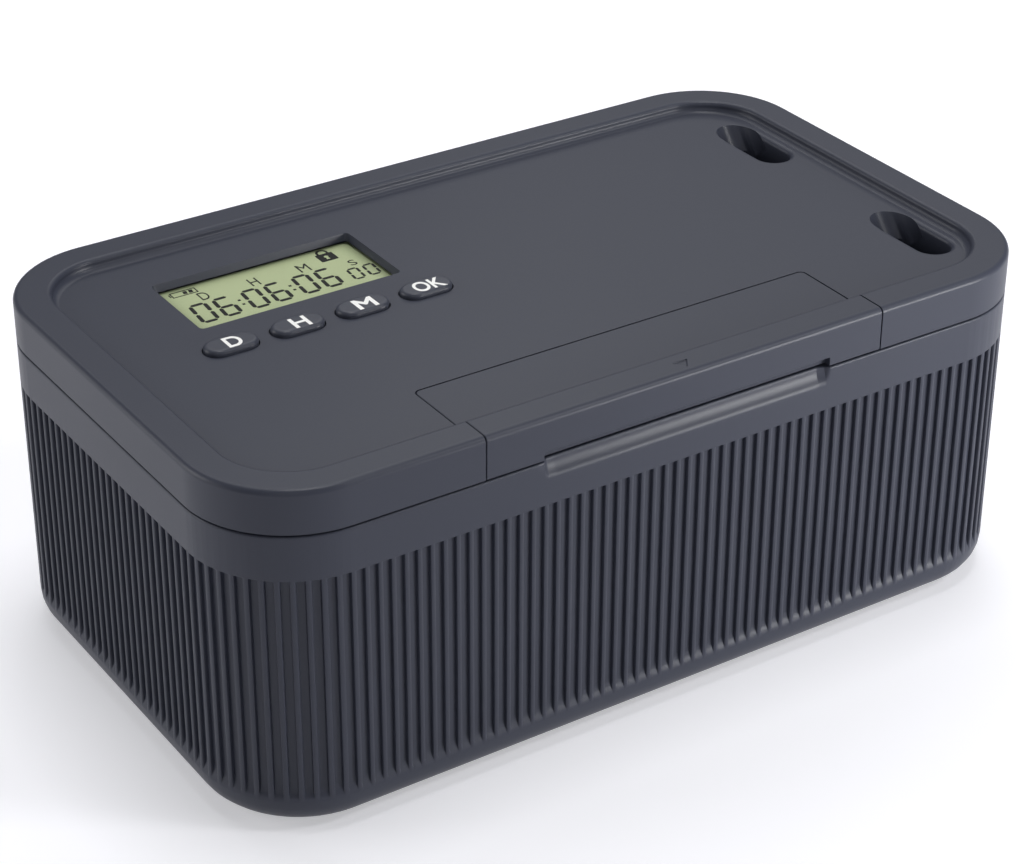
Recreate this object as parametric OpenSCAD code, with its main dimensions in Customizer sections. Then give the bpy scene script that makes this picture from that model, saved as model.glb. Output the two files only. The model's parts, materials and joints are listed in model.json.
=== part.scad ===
// Timed lock container: a ribbed tub, a hinged lid that holds the timer and
// the lock, and a battery cover that slides off the lid's front edge.
// Millimetres, +Z up. X runs along the long front, -Y is the front.

/* [Box] */
// Length of the box, left to right
body_l = 230; // [224:1:240]
// Width of the box, front to back
body_w = 136; // [132:1:144]
// Height of the box, feet included
body_h = 92; // [90:0.5:96]
// Plan radius of the four upright corners
corner_r = 27; // [26:0.5:30]
// Height of the seam between tub and lid
seam_z = 80.7; // [80:0.1:82]
// Thickness of the tub's wall
wall_t = 3.2; // [3:0.1:3.6]
// Thickness of the tub's floor
floor_t = 3; // [2.5:0.1:4]
// Radius of the tub's rounded bottom edge
bottom_round = 8; // [6:0.5:10]
// How far the rubber feet stand out below the tub
foot_proud = 0.8; // [0.5:0.1:1.2]

/* [Ribs] */
// Height at which the ribs end under the plain band
rib_top = 68.8; // [60:0.1:70]
// Width of a groove between two ribs
groove_w = 2; // [1.4:0.05:2.2]
// Depth of a groove
groove_d = 1; // [0.8:0.1:1.4]
// Height at which a groove starts to run out
fade_z = 13.5; // [12:0.5:20]
// Radius of the groove's run-out
fade_r = 8; // [6:1:10]
// Grooves along each long side
ribs_long = 52; // [30:1:56]
// Grooves along each short side
ribs_short = 24; // [14:1:26]
// Grooves round each corner
ribs_corner = 12; // [8:1:13]

/* [Lid] */
// Height of the recessed top face
deck_z = 89; // [88.5:0.1:89.4]
// Thickness of the recessed top
deck_t = 2.6; // [2.4:0.1:2.8]
// Distance from the outer face to the rim's inner wall
rim_in = 9.4; // [8.5:0.1:10]
// Radius of the rim's outer top edge
rim_round = 1.5; // [1:0.1:2.5]
// Thickness of the lid's skirt
skirt_t = 2.8; // [2.4:0.1:3]
// Height of the underside of the lid's inner cover
pan_z = 68; // [67:0.5:69]

/* [Display] */
// Centre of the display window, left to right
window_x = -52.2; // [-54:0.1:-50]
// Centre of the display window, front to back
window_y = 29.9; // [28:0.1:32]
// Length of the window at the top face
window_l = 55.3; // [54:0.1:56]
// Width of the window at the top face
window_w = 26.2; // [25:0.1:27]

/* [Buttons] */
// Centre of the first button, left to right
button_x = -78.3; // [-79:0.1:-77]
// Centre line of the buttons, front to back
button_y = 4.9; // [4:0.1:6]
// Distance between two buttons
button_pitch = 18; // [17:0.1:18.5]
// Length of a button
button_l = 14; // [13:0.1:15]
// Width of a button
button_w = 7.2; // [6.5:0.1:7.6]
// How far a button stands above the top face
button_proud = 1.5; // [1:0.1:2]
// How far a button can be pressed
button_travel = 0.8; // [0.5:0.1:0.8]

/* [Battery cover] */
// Centre of the battery cover and of the lock, left to right
cover_x = 3; // [0:0.5:4]
// Length of the battery cover
cover_l = 113; // [112:0.5:116]
// Distance from the box's middle to the cover's rear seam
cover_rear = 37.1; // [36.5:0.1:37.5]
// Length of the finger groove at the seam
finger_l = 82; // [70:1:90]

/* [Cable slots] */
// Centre line of the two cable slots, left to right
slot_x = 96.8; // [95:0.1:97]
// Centre of the rear slot, front to back
slot_rear_y = 31.2; // [30:0.1:33]
// Centre of the front slot, front to back
slot_front_y = -34.5; // [-35:0.1:-34]
// Width of a slot
slot_w = 9.4; // [8:0.1:9.6]
// Length of a slot with its ramp
slot_l = 27; // [24:0.5:28]

/* [Lock] */
// Travel of the bolt
bolt_travel = 7; // [5:0.5:7]
// Width of the bolt
bolt_w = 12; // [10:0.5:13]
// Thickness of the bolt
bolt_t = 4; // [3.6:0.1:4]
// Module of the rack and its pinion
gear_module = 0.8; // [0.8:0.05:0.85]
// Teeth of the pinion
pinion_teeth = 12; // [12:1:12]

/* [Hinge] */
// Distance of the hinge axis behind the box's rear face
hinge_back = 1; // [0.8:0.1:1.5]
// Radius of the hinge's knuckles
knuckle_r = 3; // [2.8:0.1:3.2]
// Radius of the hinge pins
pin_r = 1.25; // [1:0.05:1.5]
// Distance of each hinge from the middle
hinge_x = 62; // [50:1:70]

/* [Hidden] */
$fn = 64;

// finishes
tub_colour = "#494c56";
lid_colour = "#51545d";
inner_colour = "#43464f";
button_colour = "#4c4f59";

// gaps
seam_gap = 0.5;
part_gap = 0.3;
slide_gap = 0.3;
// overshoot of a cutting body past the face that it opens
past = 1;

// the box
tub_top = seam_z - seam_gap / 2;
lid_bottom = seam_z + seam_gap / 2;
front_y = -body_w / 2;
rear_y = body_w / 2;
inner_round = 6;
sweep_in = 14;
core_overlap = 2;
foot_x = 86;
foot_y = 40;
foot_r = 6;
foot_pocket = 1.2;

// the lid
deck_under = deck_z - deck_t;
crest_round = 1.2;
deck_fillet = body_h - deck_z - crest_round;
rim_hollow_z = body_h - 2.6;
rim_hollow_w = 3.6;

// the inner cover hangs inside the tub's wall
pan_gap = 1.4;
pan_in = wall_t + pan_gap;
pan_wall = 1.8;
pan_floor = 2;
pan_top = 83;
pan_flange_z = 81.2;
pan_flange_in = skirt_t + 0.2;
pan_inner_z = pan_z + pan_floor;

// the battery cover
cover_x0 = cover_x - cover_l / 2;
cover_x1 = cover_x + cover_l / 2;
cover_skirt = 2.6;
cover_round = 1.5;
ledge_z = 86.6;
ledge_t = 1.6;
cover_under = ledge_z + slide_gap;
tongue_t = 0.8;
tongue_out = 1.2;
tongue_end = 8;
lip_top = 83;
lip_in = 1.2;
apron_in = 3;
apron_t = 1.3;
apron_bottom = 83.5;
finger_up = 2.2;
finger_in = 1.8;
scoop_r = 5.8;
scoop_in = 1.6;
mark_half = 2.1;
mark_rear = 5.4;
mark_len = 3.1;
mark_deep = 0.4;

// two size AA cells in line
cell_r = 7.1;
cell_l = 50.5;
cell_nub_r = 2.7;
cell_nub_l = 1.2;
bay_l = 108;
bay_w = 16.6;
bay_wall = 1.4;
bay_y = -48.9;
bay_x0 = cover_x - bay_l / 2;
bay_x1 = cover_x + bay_l / 2;
cell_z = ledge_z - 0.4 - cell_r;
bay_floor_z = cell_z - cell_r;
contact_t = 0.5;
plus_gap = 1.3;
cells_x1 = bay_x1 - contact_t - plus_gap;
cells_x0 = cells_x1 - 2 * cell_l;
contact_side = 10;
contact_tab_w = 3;
contact_tab_l = 3.4;

// the display
window_slope = 0.6;
window_round = 1.2;
lens_t = 0.6;
lens_edge = 1.6;
lens_seat = 0.7;
lens_side_gap = 0.15;
lens_round = 1.5;
panel_t = 2.4;
glass_step = 3.2;
strip_in = 2;
strip_t = 2;
panel_z = deck_under - 0.1 - panel_t;
panel_l = window_l + 0.8;
panel_w = window_w + 0.8;
frame_t = 1.6;

// the circuit board hangs from four posts under the top
board_t = 1.6;
board_top = 78.6;
board_x0 = -93;
board_x1 = -11;
board_y0 = -9;
board_y1 = 47;
board_inset = 4;
post_r = 2.6;
pilot_r = 1.15;
shank_r = 1.1;
head_r = 2.3;
head_h = 1.5;
switch_side = 6;
switch_h = 3.2;
switch_nub_r = 1.7;

// the buttons
button_gap = 0.3;
button_flange = 1.4;
button_flange_t = 1.1;
button_flange_top = deck_under - 0.4;
button_stem_r = 2;
button_stem_z = 83.5;
button_round = 1.1;
button_core = 1.6;
nub_top = button_stem_z - button_travel - 0.3;

// the inner cover's posts
pan_screws = [[-100, -48], [-100, 48], [-6, 55], [76, -53], [76, 54], [104, -2]];
pan_post_r = 3.3;

// the cable slots
slot_round = 1.4;
slot_ramp = 5;
ramp_angle = 50;
ramp_side = 0.8;
chute_wall = 1.8;
slot_hole_l = slot_l - slot_ramp;

// the lock
bolt_floor_z = 60.2;
bolt_z = bolt_floor_z + part_gap;
bolt_tip = -54.6;
housing_front = -54.8;
housing_rear = -11;
housing_x0 = -14;
housing_x1 = 41;
housing_wall = 1.8;
housing_r = 4;
ear_r = 3.5;
ear_t = 1.6;
rail_t = 1.8;
rack_pitch = PI * gear_module;
pinion_pitch_r = gear_module * pinion_teeth / 2;
tooth_root = 1.15;
rack_line_z = bolt_z + bolt_t - gear_module;
pinion_z = rack_line_z + pinion_pitch_r;
pinion_y = -27;
bolt_end = pinion_y + bolt_travel + 6;
pinion_face = 6;
pinion_root_r = pinion_pitch_r - tooth_root * gear_module;
pressure_angle = 25;
gear_backlash = 0.3;
shaft_r = 1.5;
shaft_fit = 0.05;
gearbox_x = cover_x + 7.5;
gearbox_l = 9;
motor_w = 12;
motor_h = 10;
motor_l = 15;
clamp_x = gearbox_x + gearbox_l + 8;
clamp_l = 6;
clamp_t = 1.4;
clamp_foot = 6;
guide_y0 = -51;
guide_y1 = -42;
guide_t = 1.6;
guide_foot = 5;

// the keeper on the tub's front wall
keeper_y = -57;
keeper_t = 1.5;
keeper_l = 42;
keeper_z0 = 53;
keeper_z1 = 67.4;
keeper_hole_w = bolt_w + 1.6;
keeper_hole_h = bolt_t + 1.4;
keeper_screw_x = 16;

// the hinge
axis_y = rear_y + hinge_back;
axis_z = seam_z;
knuckle_gap = 0.4;
lid_knuckle = 16;
tub_knuckle = 8;
hinge_proud = hinge_back + knuckle_r;
web_drop = 9;
knuckle_room = 0.4;

// moves the box so that the origin is under the middle of its outer size,
// hinge knuckles included
module placed() {
  translate([0, -hinge_proud / 2, 0]) children();
}

// ---------------------------------------------------------------- profiles

// what is cut off a square corner at the origin to round it
module corner_bite(r) {
  difference() {
    translate([-past, -past]) square(r + past);
    translate([r, r]) circle(r);
  }
}

// a rectangle with round corners, centred
module round_rect(l, w, r) {
  square([l - 2 * r, w], center = true);
  square([l, w - 2 * r], center = true);
  for (sx = [-1, 1], sy = [-1, 1]) {
    translate([sx * (l / 2 - r), sy * (w / 2 - r)]) circle(r);
  }
}

module round_plate(l, w, r, z0, z1) {
  translate([0, 0, z0]) linear_extrude(z1 - z0) round_rect(l, w, r);
}

// sweeps a profile round a rounded rectangle: the profile's x is the distance
// inside the outline and its y is the height
module around(l, w, r) {
  for (i = [0 : 3]) {
    sx = (i == 0 || i == 3) ? 1 : -1;
    sy = (i < 2) ? 1 : -1;
    translate([sx * (l / 2 - r), sy * (w / 2 - r), 0])
      rotate([0, 0, 90 * i])
        rotate_extrude(angle = 90)
          translate([r, 0]) mirror([1, 0]) children();
  }
  for (side = [0, 180]) {
    rotate([0, 0, side]) side_run(l - 2 * r, w) children();
    if (w > 2 * r) {
      rotate([0, 0, side + 90]) side_run(w - 2 * r, l) children();
    }
  }
}

// one straight side of such a sweep, along X at the front
module side_run(run, across) {
  translate([-run / 2, -across / 2, 0]) rotate([90, 0, 90]) linear_extrude(run) children();
}

// a rounded outline that lies a distance inside the box's outer face
module inset_plate(inset, z0, z1) {
  round_plate(body_l - 2 * inset, body_w - 2 * inset, corner_r - inset, z0, z1);
}

module block(x0, x1, y0, y1, z0, z1) {
  translate([x0, y0, z0]) cube([x1 - x0, y1 - y0, z1 - z0]);
}

// a block whose two rear upright edges are rounded
module rear_rounded(x0, x1, y0, y1, r, z0, z1) {
  translate([0, 0, z0]) linear_extrude(z1 - z0) difference() {
    translate([x0, y0]) square([x1 - x0, y1 - y0]);
    translate([x0, y1]) mirror([0, 1]) corner_bite(r);
    translate([x1, y1]) mirror([1, 0]) mirror([0, 1]) corner_bite(r);
  }
}

// ---------------------------------------------------------------- fasteners

// a cross-head screw that points up: the head lies below z = 0
module screw(shank_l) {
  difference() {
    union() {
      translate([0, 0, -head_h]) cylinder(r = head_r, h = head_h);
      cylinder(r = shank_r, h = shank_l);
    }
    for (turn = [0, 90]) {
      rotate([0, 0, turn]) translate([-1.3, -0.3, -head_h - past]) cube([2.6, 0.6, past + 0.8]);
    }
  }
}

module screws_up(places, z, shank_l) {
  for (p = places) {
    translate([p[0], p[1], z]) screw(shank_l);
  }
}

// a post with a pilot hole, hanging down from z1 to z0
module post(p, r, z0, z1) {
  translate([p[0], p[1], z0]) difference() {
    cylinder(r = r, h = z1 - z0);
    translate([0, 0, -past]) cylinder(r = pilot_r, h = z1 - z0 - 1 + past);
  }
}

// ---------------------------------------------------------------- tub

module tub_profile() {
  difference() {
    translate([0, foot_proud]) square([sweep_in, tub_top - foot_proud]);
    translate([0, foot_proud]) corner_bite(bottom_round);
    difference() {
      translate([wall_t, foot_proud + floor_t]) square([sweep_in, tub_top]);
      translate([wall_t, foot_proud + floor_t]) corner_bite(inner_round);
    }
  }
}

// side view of one groove, with its run-out: x is the depth
module groove_profile() {
  intersection() {
    translate([-past, 0]) square([past + groove_d, rib_top]);
    union() {
      translate([-past, fade_z]) square([past + groove_d, rib_top - fade_z]);
      translate([groove_d - fade_r, fade_z]) circle(fade_r);
    }
  }
}

// a groove cutter on the plane y = 0, cutting towards +Y
module groove() {
  translate([-groove_w / 2, 0, 0]) rotate([90, 0, 90]) linear_extrude(groove_w) groove_profile();
}

module groove_row(run, across, count) {
  pitch = run / count;
  for (i = [0 : count - 1]) {
    translate([-run / 2 + (i + 0.5) * pitch, -across / 2, 0]) groove();
  }
}

module groove_corner() {
  for (i = [0 : ribs_corner - 1]) {
    rotate([0, 0, (i + 0.5) * 90 / ribs_corner]) translate([0, -corner_r, 0]) groove();
  }
}

module all_grooves() {
  run_l = body_l - 2 * corner_r;
  run_w = body_w - 2 * corner_r;
  for (side = [0, 180]) {
    rotate([0, 0, side]) {
      groove_row(run_l, body_w, ribs_long);
      translate([run_l / 2, -run_w / 2, 0]) groove_corner();
      translate([-run_l / 2, -run_w / 2, 0]) rotate([0, 0, -90]) groove_corner();
    }
    rotate([0, 0, side + 90]) groove_row(run_w, body_l, ribs_short);
  }
}

// the rounded scoop under the lid's front edge
module finger_scoop() {
  translate([cover_x - finger_l / 2, front_y - scoop_r + scoop_in, tub_top])
    rotate([0, 90, 0]) cylinder(r = scoop_r, h = finger_l);
}

// a knuckle's side view at the hinge axis, with a web to the box's rear face
module knuckle_profile(web) {
  circle(knuckle_r);
  polygon([[-hinge_back - past, web], [knuckle_r, 0], [0, 0], [-hinge_back - past, sign(web) * seam_gap / 2]]);
}

module knuckle(x0, run, web) {
  translate([x0, axis_y, axis_z]) rotate([90, 0, 90]) linear_extrude(run) knuckle_profile(web);
}

// a round body on the hinge axis
module on_axis(x0, run, r) {
  translate([x0, axis_y, axis_z]) rotate([0, 90, 0]) cylinder(r = r, h = run);
}

tub_knuckle_x = [-lid_knuckle / 2 - knuckle_gap - tub_knuckle, lid_knuckle / 2 + knuckle_gap];
hinge_run = lid_knuckle + 2 * knuckle_gap + 2 * tub_knuckle;

// two posts and a sill on the front wall carry the keeper plate
module keeper_mount() {
  rear = keeper_y - keeper_t;
  half = keeper_l / 2;
  difference() {
    block(cover_x - half, cover_x + half, front_y + wall_t - past, rear, keeper_z0, keeper_z1);
    block(cover_x - keeper_hole_w / 2, cover_x + keeper_hole_w / 2,
          front_y + wall_t, rear + past, bolt_z - 2.5, keeper_z1 + past);
    for (s = [-1, 1]) {
      translate([cover_x + s * keeper_screw_x, rear + past, (keeper_z0 + keeper_z1) / 2])
        rotate([90, 0, 0]) cylinder(r = pilot_r, h = 5 + past);
    }
  }
}

module tub() {
  color(tub_colour) placed() difference() {
    union() {
      around(body_l, body_w, corner_r) tub_profile();
      inset_plate(sweep_in - core_overlap, foot_proud, foot_proud + floor_t);
      keeper_mount();
      for (side = [-1, 1], x = tub_knuckle_x) {
        knuckle(side * hinge_x + x, tub_knuckle, -web_drop);
      }
    }
    all_grooves();
    finger_scoop();
    for (sx = [-1, 1], sy = [-1, 1]) {
      translate([sx * foot_x, sy * foot_y, foot_proud - past])
        cylinder(r = foot_r + 0.2, h = past + foot_pocket);
    }
    for (side = [-1, 1]) {
      on_axis(side * hinge_x - lid_knuckle / 2 - knuckle_gap, lid_knuckle + 2 * knuckle_gap,
              knuckle_r + knuckle_room);
      on_axis(side * hinge_x - hinge_run / 2 - past, hinge_run + 2 * past, pin_r);
    }
  }
}

module feet() {
  color("#17181b") placed() for (sx = [-1, 1], sy = [-1, 1]) {
    translate([sx * foot_x, sy * foot_y, 0]) cylinder(r = foot_r, h = foot_proud + foot_pocket);
  }
}

module keeper_plate() {
  z0 = keeper_z0;
  half = keeper_l / 2;
  color("silver") placed() difference() {
    block(cover_x - half, cover_x + half, keeper_y - keeper_t, keeper_y, z0, keeper_z1);
    block(cover_x - keeper_hole_w / 2, cover_x + keeper_hole_w / 2, keeper_y - keeper_t - past, keeper_y + past,
          bolt_z - (keeper_hole_h - bolt_t) / 2, bolt_z + bolt_t + (keeper_hole_h - bolt_t) / 2);
    for (s = [-1, 1]) {
      translate([cover_x + s * keeper_screw_x, keeper_y + past, (z0 + keeper_z1) / 2])
        rotate([90, 0, 0]) cylinder(r = shank_r + 0.2, h = keeper_t + 2 * past);
    }
  }
}

module keeper_screws() {
  color("gainsboro") placed() for (s = [-1, 1]) {
    translate([cover_x + s * keeper_screw_x, keeper_y, (keeper_z0 + keeper_z1) / 2])
      rotate([90, 0, 0]) screw(5.5);
  }
}

module hinge_pins() {
  color("silver") placed() for (side = [-1, 1]) {
    on_axis(side * hinge_x - hinge_run / 2, hinge_run, pin_r);
  }
}

// ---------------------------------------------------------------- lid shell

// outer section of the rim, its skirt and the start of the recessed top
module lid_profile(bottom) {
  difference() {
    translate([0, bottom]) square([sweep_in + core_overlap, body_h - bottom]);
    translate([0, body_h]) mirror([0, 1]) corner_bite(rim_round);
    translate([rim_in, body_h]) mirror([1, 1]) mirror([1, -1]) corner_bite(crest_round);
    difference() {
      translate([rim_in, deck_z]) square([sweep_in, body_h]);
      translate([rim_in, deck_z]) corner_bite(deck_fillet);
    }
  }
}

// hollow under the lid's top and rim
module lid_hollow(skirt, under) {
  translate([skirt, lid_bottom - past]) square([sweep_in + core_overlap, under - lid_bottom + past]);
  translate([skirt, lid_bottom - past]) square([rim_hollow_w, rim_hollow_z - lid_bottom + past]);
}

module slot_places() {
  for (y = [slot_rear_y, slot_front_y]) {
    translate([slot_x, y, 0]) children();
  }
}

// a cable slot: the hole, its rounded edge and the ramp at its rear end
module slot_cut(z0, z1) {
  hole_y = -slot_ramp / 2;
  translate([0, hole_y, 0]) round_plate(slot_w, slot_hole_l, slot_w / 2 - 0.01, z0, z1);
}

module slot_edge() {
  outer_w = slot_w + 2 * slot_round;
  outer_l = slot_hole_l + 2 * slot_round;
  translate([0, -slot_ramp / 2, 0]) rotate([0, 0, 90]) around(outer_l, outer_w, outer_w / 2) {
    difference() {
      translate([0, deck_z - slot_round]) square([slot_round + 0.01, slot_round + past]);
      translate([0, deck_z - slot_round]) circle(slot_round);
    }
  }
}

module slot_ramp_cut() {
  r = slot_w / 2 + ramp_side;
  lift = [0, slot_l / 2 - r * sin(ramp_angle), deck_z + r * cos(ramp_angle)];
  translate(lift) rotate([90 + ramp_angle, 0, 0]) translate([0, 0, -6]) cylinder(r = r, h = 17);
}

module slot_chute() {
  round_plate(slot_w + 2 * chute_wall, slot_l + 2 * chute_wall, slot_w / 2 + chute_wall - 0.01,
              pan_inner_z, deck_under + past);
}

// the window's sloping walls, and the seat for its lens from below
module window_cut() {
  seat_z = deck_under + lens_seat;
  extra = window_slope * past / (deck_t - lens_seat);
  translate([window_x, window_y, 0]) {
    hull() {
      round_plate(window_l + 2 * extra, window_w + 2 * extra, window_round, deck_z, deck_z + past, $fn = 32);
      round_plate(window_l - 2 * window_slope, window_w - 2 * window_slope, window_round,
                  seat_z - past, seat_z, $fn = 32);
    }
    round_plate(window_l + 2 * (lens_edge + lens_side_gap), window_w + 2 * (lens_edge + lens_side_gap),
                lens_round + lens_side_gap, deck_under - past, seat_z);
  }
}

module button_places() {
  for (i = [0 : 3]) {
    translate([button_x + i * button_pitch, button_y, 0]) children();
  }
}

board_posts = [
  [board_x0 + board_inset, board_y0 + board_inset],
  [board_x1 - board_inset, board_y0 + board_inset],
  [board_x0 + board_inset, board_y1 - board_inset],
  [board_x1 - board_inset, board_y1 - board_inset]
];

// the battery bay, closed at the bottom and open at the top
module bay_outer() {
  block(bay_x0 - bay_wall, bay_x1 + bay_wall, bay_y - bay_w / 2 - bay_wall, bay_y + bay_w / 2 + bay_wall,
        bay_floor_z - bay_wall, ledge_z);
}

module bay_inner() {
  block(bay_x0, bay_x1, bay_y - bay_w / 2, bay_y + bay_w / 2, bay_floor_z, ledge_z + past);
  for (x = [bay_x0 - bay_wall - past, bay_x1 - past]) {
    block(x, x + bay_wall + 2 * past, bay_y - contact_tab_w / 2 - 0.2, bay_y + contact_tab_w / 2 + 0.2,
          cell_z - contact_t, cell_z + contact_t);
  }
}

// everything above the ledge that the battery cover takes up
module cover_room() {
  x0 = cover_x0 - part_gap;
  x1 = cover_x1 + part_gap;
  rear = -cover_rear + part_gap;
  rear_rounded(x0, x1, front_y - past, rear, cover_round + part_gap, ledge_z, body_h + past);
  block(x0, x1, front_y - past, front_y + apron_in, lid_bottom - past, body_h);
  block(cover_x0 + tongue_end - part_gap, cover_x1 - tongue_end + part_gap,
        rear - past, rear + tongue_out + part_gap, ledge_z, cover_under + tongue_t + part_gap);
}

// the ledge that the battery cover slides on, turned down at the front
module cover_ledge() {
  x0 = cover_x0 - part_gap - past;
  x1 = cover_x1 + part_gap + past;
  block(x0, x1, front_y + apron_in, -cover_rear + 2 * past, ledge_z - ledge_t, ledge_z);
  block(x0, x1, front_y + apron_in, front_y + apron_in + apron_t, apron_bottom, ledge_z);
}

module lid_shell() {
  color(lid_colour) placed() difference() {
    union() {
      difference() {
        union() {
          around(body_l, body_w, corner_r) difference() {
            lid_profile(lid_bottom);
            lid_hollow(skirt_t, deck_under);
          }
          inset_plate(sweep_in, deck_under, deck_z);
        }
        cover_room();
      }
      cover_ledge();
      bay_outer();
      slot_places() slot_chute();
      for (p = board_posts) {
        post(p, post_r, board_top, deck_under + 0.5);
      }
      for (p = pan_screws) {
        post(p, pan_post_r, pan_inner_z, deck_under + 0.5);
      }
      for (side = [-1, 1]) {
        knuckle(side * hinge_x - lid_knuckle / 2, lid_knuckle, web_drop);
      }
    }
    bay_inner();
    window_cut();
    button_places() round_plate(button_l + 2 * button_gap, button_w + 2 * button_gap,
                                button_w / 2 + button_gap - 0.01, deck_under - past, deck_z + past);
    slot_places() {
      slot_cut(pan_inner_z - past, deck_z + past);
      slot_edge();
      slot_ramp_cut();
    }
    for (side = [-1, 1]) {
      for (x = tub_knuckle_x) {
        on_axis(side * hinge_x + x - knuckle_gap, tub_knuckle + 2 * knuckle_gap, knuckle_r + knuckle_room);
      }
      on_axis(side * hinge_x - hinge_run / 2, hinge_run, pin_r + shaft_fit);
    }
  }
}

// ---------------------------------------------------------------- inner cover

module pan_profile() {
  difference() {
    union() {
      translate([pan_in, pan_z]) square([pan_wall, pan_top - pan_z]);
      translate([pan_in, pan_z]) square([sweep_in, pan_floor]);
      translate([pan_flange_in, pan_flange_z]) square([pan_in + pan_wall - pan_flange_in, pan_top - pan_flange_z]);
    }
    translate([pan_in, pan_z]) corner_bite(1.5);
  }
}

module housing_plate(grow, z0, z1) {
  translate([(housing_x0 + housing_x1) / 2, (housing_front + housing_rear) / 2, 0])
    round_plate(housing_x1 - housing_x0 + 2 * grow, housing_rear - housing_front + 2 * grow, housing_r + grow, z0, z1);
}

housing_screws_at = [
  [housing_x0 - ear_r, -46], [housing_x0 - ear_r, -18],
  [housing_x1 + ear_r, -46], [housing_x1 + ear_r, -18]
];
clamp_screws_at = [
  [clamp_x + clamp_l / 2, pinion_y - motor_w / 2 - clamp_t - clamp_foot / 2],
  [clamp_x + clamp_l / 2, pinion_y + motor_w / 2 + clamp_t + clamp_foot / 2]
];
guide_screws_at = [
  [cover_x - bolt_w / 2 - part_gap - guide_foot / 2, (guide_y0 + guide_y1) / 2],
  [cover_x + bolt_w / 2 + part_gap + guide_foot / 2, (guide_y0 + guide_y1) / 2]
];

// rails that guide the bolt, seats for the motor and its screws
module housing_fittings() {
  for (s = [-1, 1]) {
    x = cover_x + s * (bolt_w / 2 + part_gap + rail_t / 2);
    block(x - rail_t / 2, x + rail_t / 2, housing_front + housing_wall, guide_y1 + 6,
          bolt_floor_z - 0.2, bolt_z + bolt_t + part_gap);
  }
  for (p = guide_screws_at) {
    block(p[0] - guide_foot / 2, p[0] + guide_foot / 2, guide_y0, guide_y1,
          bolt_floor_z - 0.2, bolt_z + bolt_t + part_gap);
  }
  block(gearbox_x, gearbox_x + gearbox_l + motor_l, pinion_y - 4, pinion_y + 4,
        bolt_floor_z - 0.2, pinion_z - motor_h / 2);
  for (p = clamp_screws_at) {
    block(p[0] - clamp_l / 2, p[0] + clamp_l / 2, p[1] - clamp_foot / 2, p[1] + clamp_foot / 2,
          bolt_floor_z - 0.2, pinion_z - motor_h / 2);
  }
}

module inner_cover() {
  color(inner_colour) placed() difference() {
    union() {
      around(body_l, body_w, corner_r) pan_profile();
      inset_plate(sweep_in, pan_z, pan_inner_z);
    }
    housing_plate(-housing_wall, pan_z - past, pan_inner_z + past);
    for (p = pan_screws) {
      translate([p[0], p[1], pan_z - past]) cylinder(r = shank_r + 0.2, h = pan_floor + 2 * past);
      translate([p[0], p[1], pan_z - past]) cylinder(r = head_r + 0.3, h = past + 1.2);
    }
    for (p = housing_screws_at) {
      translate([p[0], p[1], pan_z - past]) cylinder(r = pilot_r, h = pan_floor + 2 * past);
    }
    block(cover_x0 - past, cover_x1 + past, front_y, front_y + pan_in - 0.5, lid_bottom, pan_top + past);
    slot_places() slot_cut(pan_z - past, pan_inner_z + past);
  }
}

module inner_cover_screws() {
  color("gainsboro") placed() screws_up(pan_screws, pan_z + 1.2, 9);
}

// the tray under the inner cover that holds the lock, on four ears
module lock_housing() {
  color(inner_colour) placed() difference() {
    union() {
      difference() {
        housing_plate(0, bolt_floor_z - housing_wall, pan_z);
        housing_plate(-housing_wall, bolt_floor_z, pan_z + past);
      }
      housing_fittings();
      for (p = housing_screws_at) {
        inward = p[0] < cover_x ? 1 : -1;
        translate([p[0], p[1], pan_z - ear_t]) cylinder(r = ear_r, h = ear_t);
        translate([p[0] + inward * ear_r / 2, p[1], pan_z - ear_t / 2])
          cube([ear_r + 0.4, 2 * ear_r, ear_t], center = true);
      }
    }
    for (p = housing_screws_at) {
      translate([p[0], p[1], pan_z - ear_t - past]) cylinder(r = shank_r + 0.2, h = ear_t + 2 * past);
    }
    for (p = concat(clamp_screws_at, guide_screws_at)) {
      translate([p[0], p[1], bolt_floor_z]) cylinder(r = pilot_r, h = 20);
    }
    block(cover_x - bolt_w / 2 - part_gap, cover_x + bolt_w / 2 + part_gap, housing_front - past,
          housing_front + housing_wall + past, bolt_z - part_gap, bolt_z + bolt_t + part_gap);
  }
}

module housing_screws() {
  color("gainsboro") placed() screws_up(housing_screws_at, pan_z - ear_t, ear_t + 1.9);
}

// ---------------------------------------------------------------- display

module display_lens() {
  color("lightblue", 0.4) placed() translate([window_x, window_y, 0])
    round_plate(window_l + 2 * lens_edge, window_w + 2 * lens_edge, lens_round,
                deck_under + lens_seat - lens_t, deck_under + lens_seat);
}

module display_panel() {
  color("#b7c295") placed() translate([window_x, window_y, panel_z]) {
    translate([-panel_l / 2, -panel_w / 2 + glass_step, 0])
      cube([panel_l, panel_w - 2 * glass_step, panel_t / 2 + past]);
    translate([-panel_l / 2, -panel_w / 2, panel_t / 2]) cube([panel_l, panel_w, panel_t / 2]);
  }
}

module display_frame() {
  l = panel_l + 0.4;
  w = panel_w + 0.4;
  top = panel_z + panel_t;
  color("#2b2c30") placed() translate([window_x, window_y, 0]) difference() {
    round_plate(l + 2 * frame_t, w + 2 * frame_t, 2, board_top, top);
    translate([-l / 2, -w / 2, board_top - past]) cube([l, w, top]);
  }
}

module display_contact_strips() {
  color("#8d8f94") placed() translate([window_x, window_y, board_top]) for (s = [-1, 1]) {
    translate([-window_l / 2 + 3, s * (panel_w / 2 - strip_in) - strip_t / 2, 0])
      cube([window_l - 6, strip_t, panel_z + panel_t / 2 - board_top]);
  }
}

// ---------------------------------------------------------------- electronics

module main_board() {
  color("#2e6b45") placed() difference() {
    block(board_x0, board_x1, board_y0, board_y1, board_top - board_t, board_top);
    for (p = board_posts) {
      translate([p[0], p[1], board_top - board_t - past]) cylinder(r = shank_r + 0.2, h = board_t + 2 * past);
    }
  }
}

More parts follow.
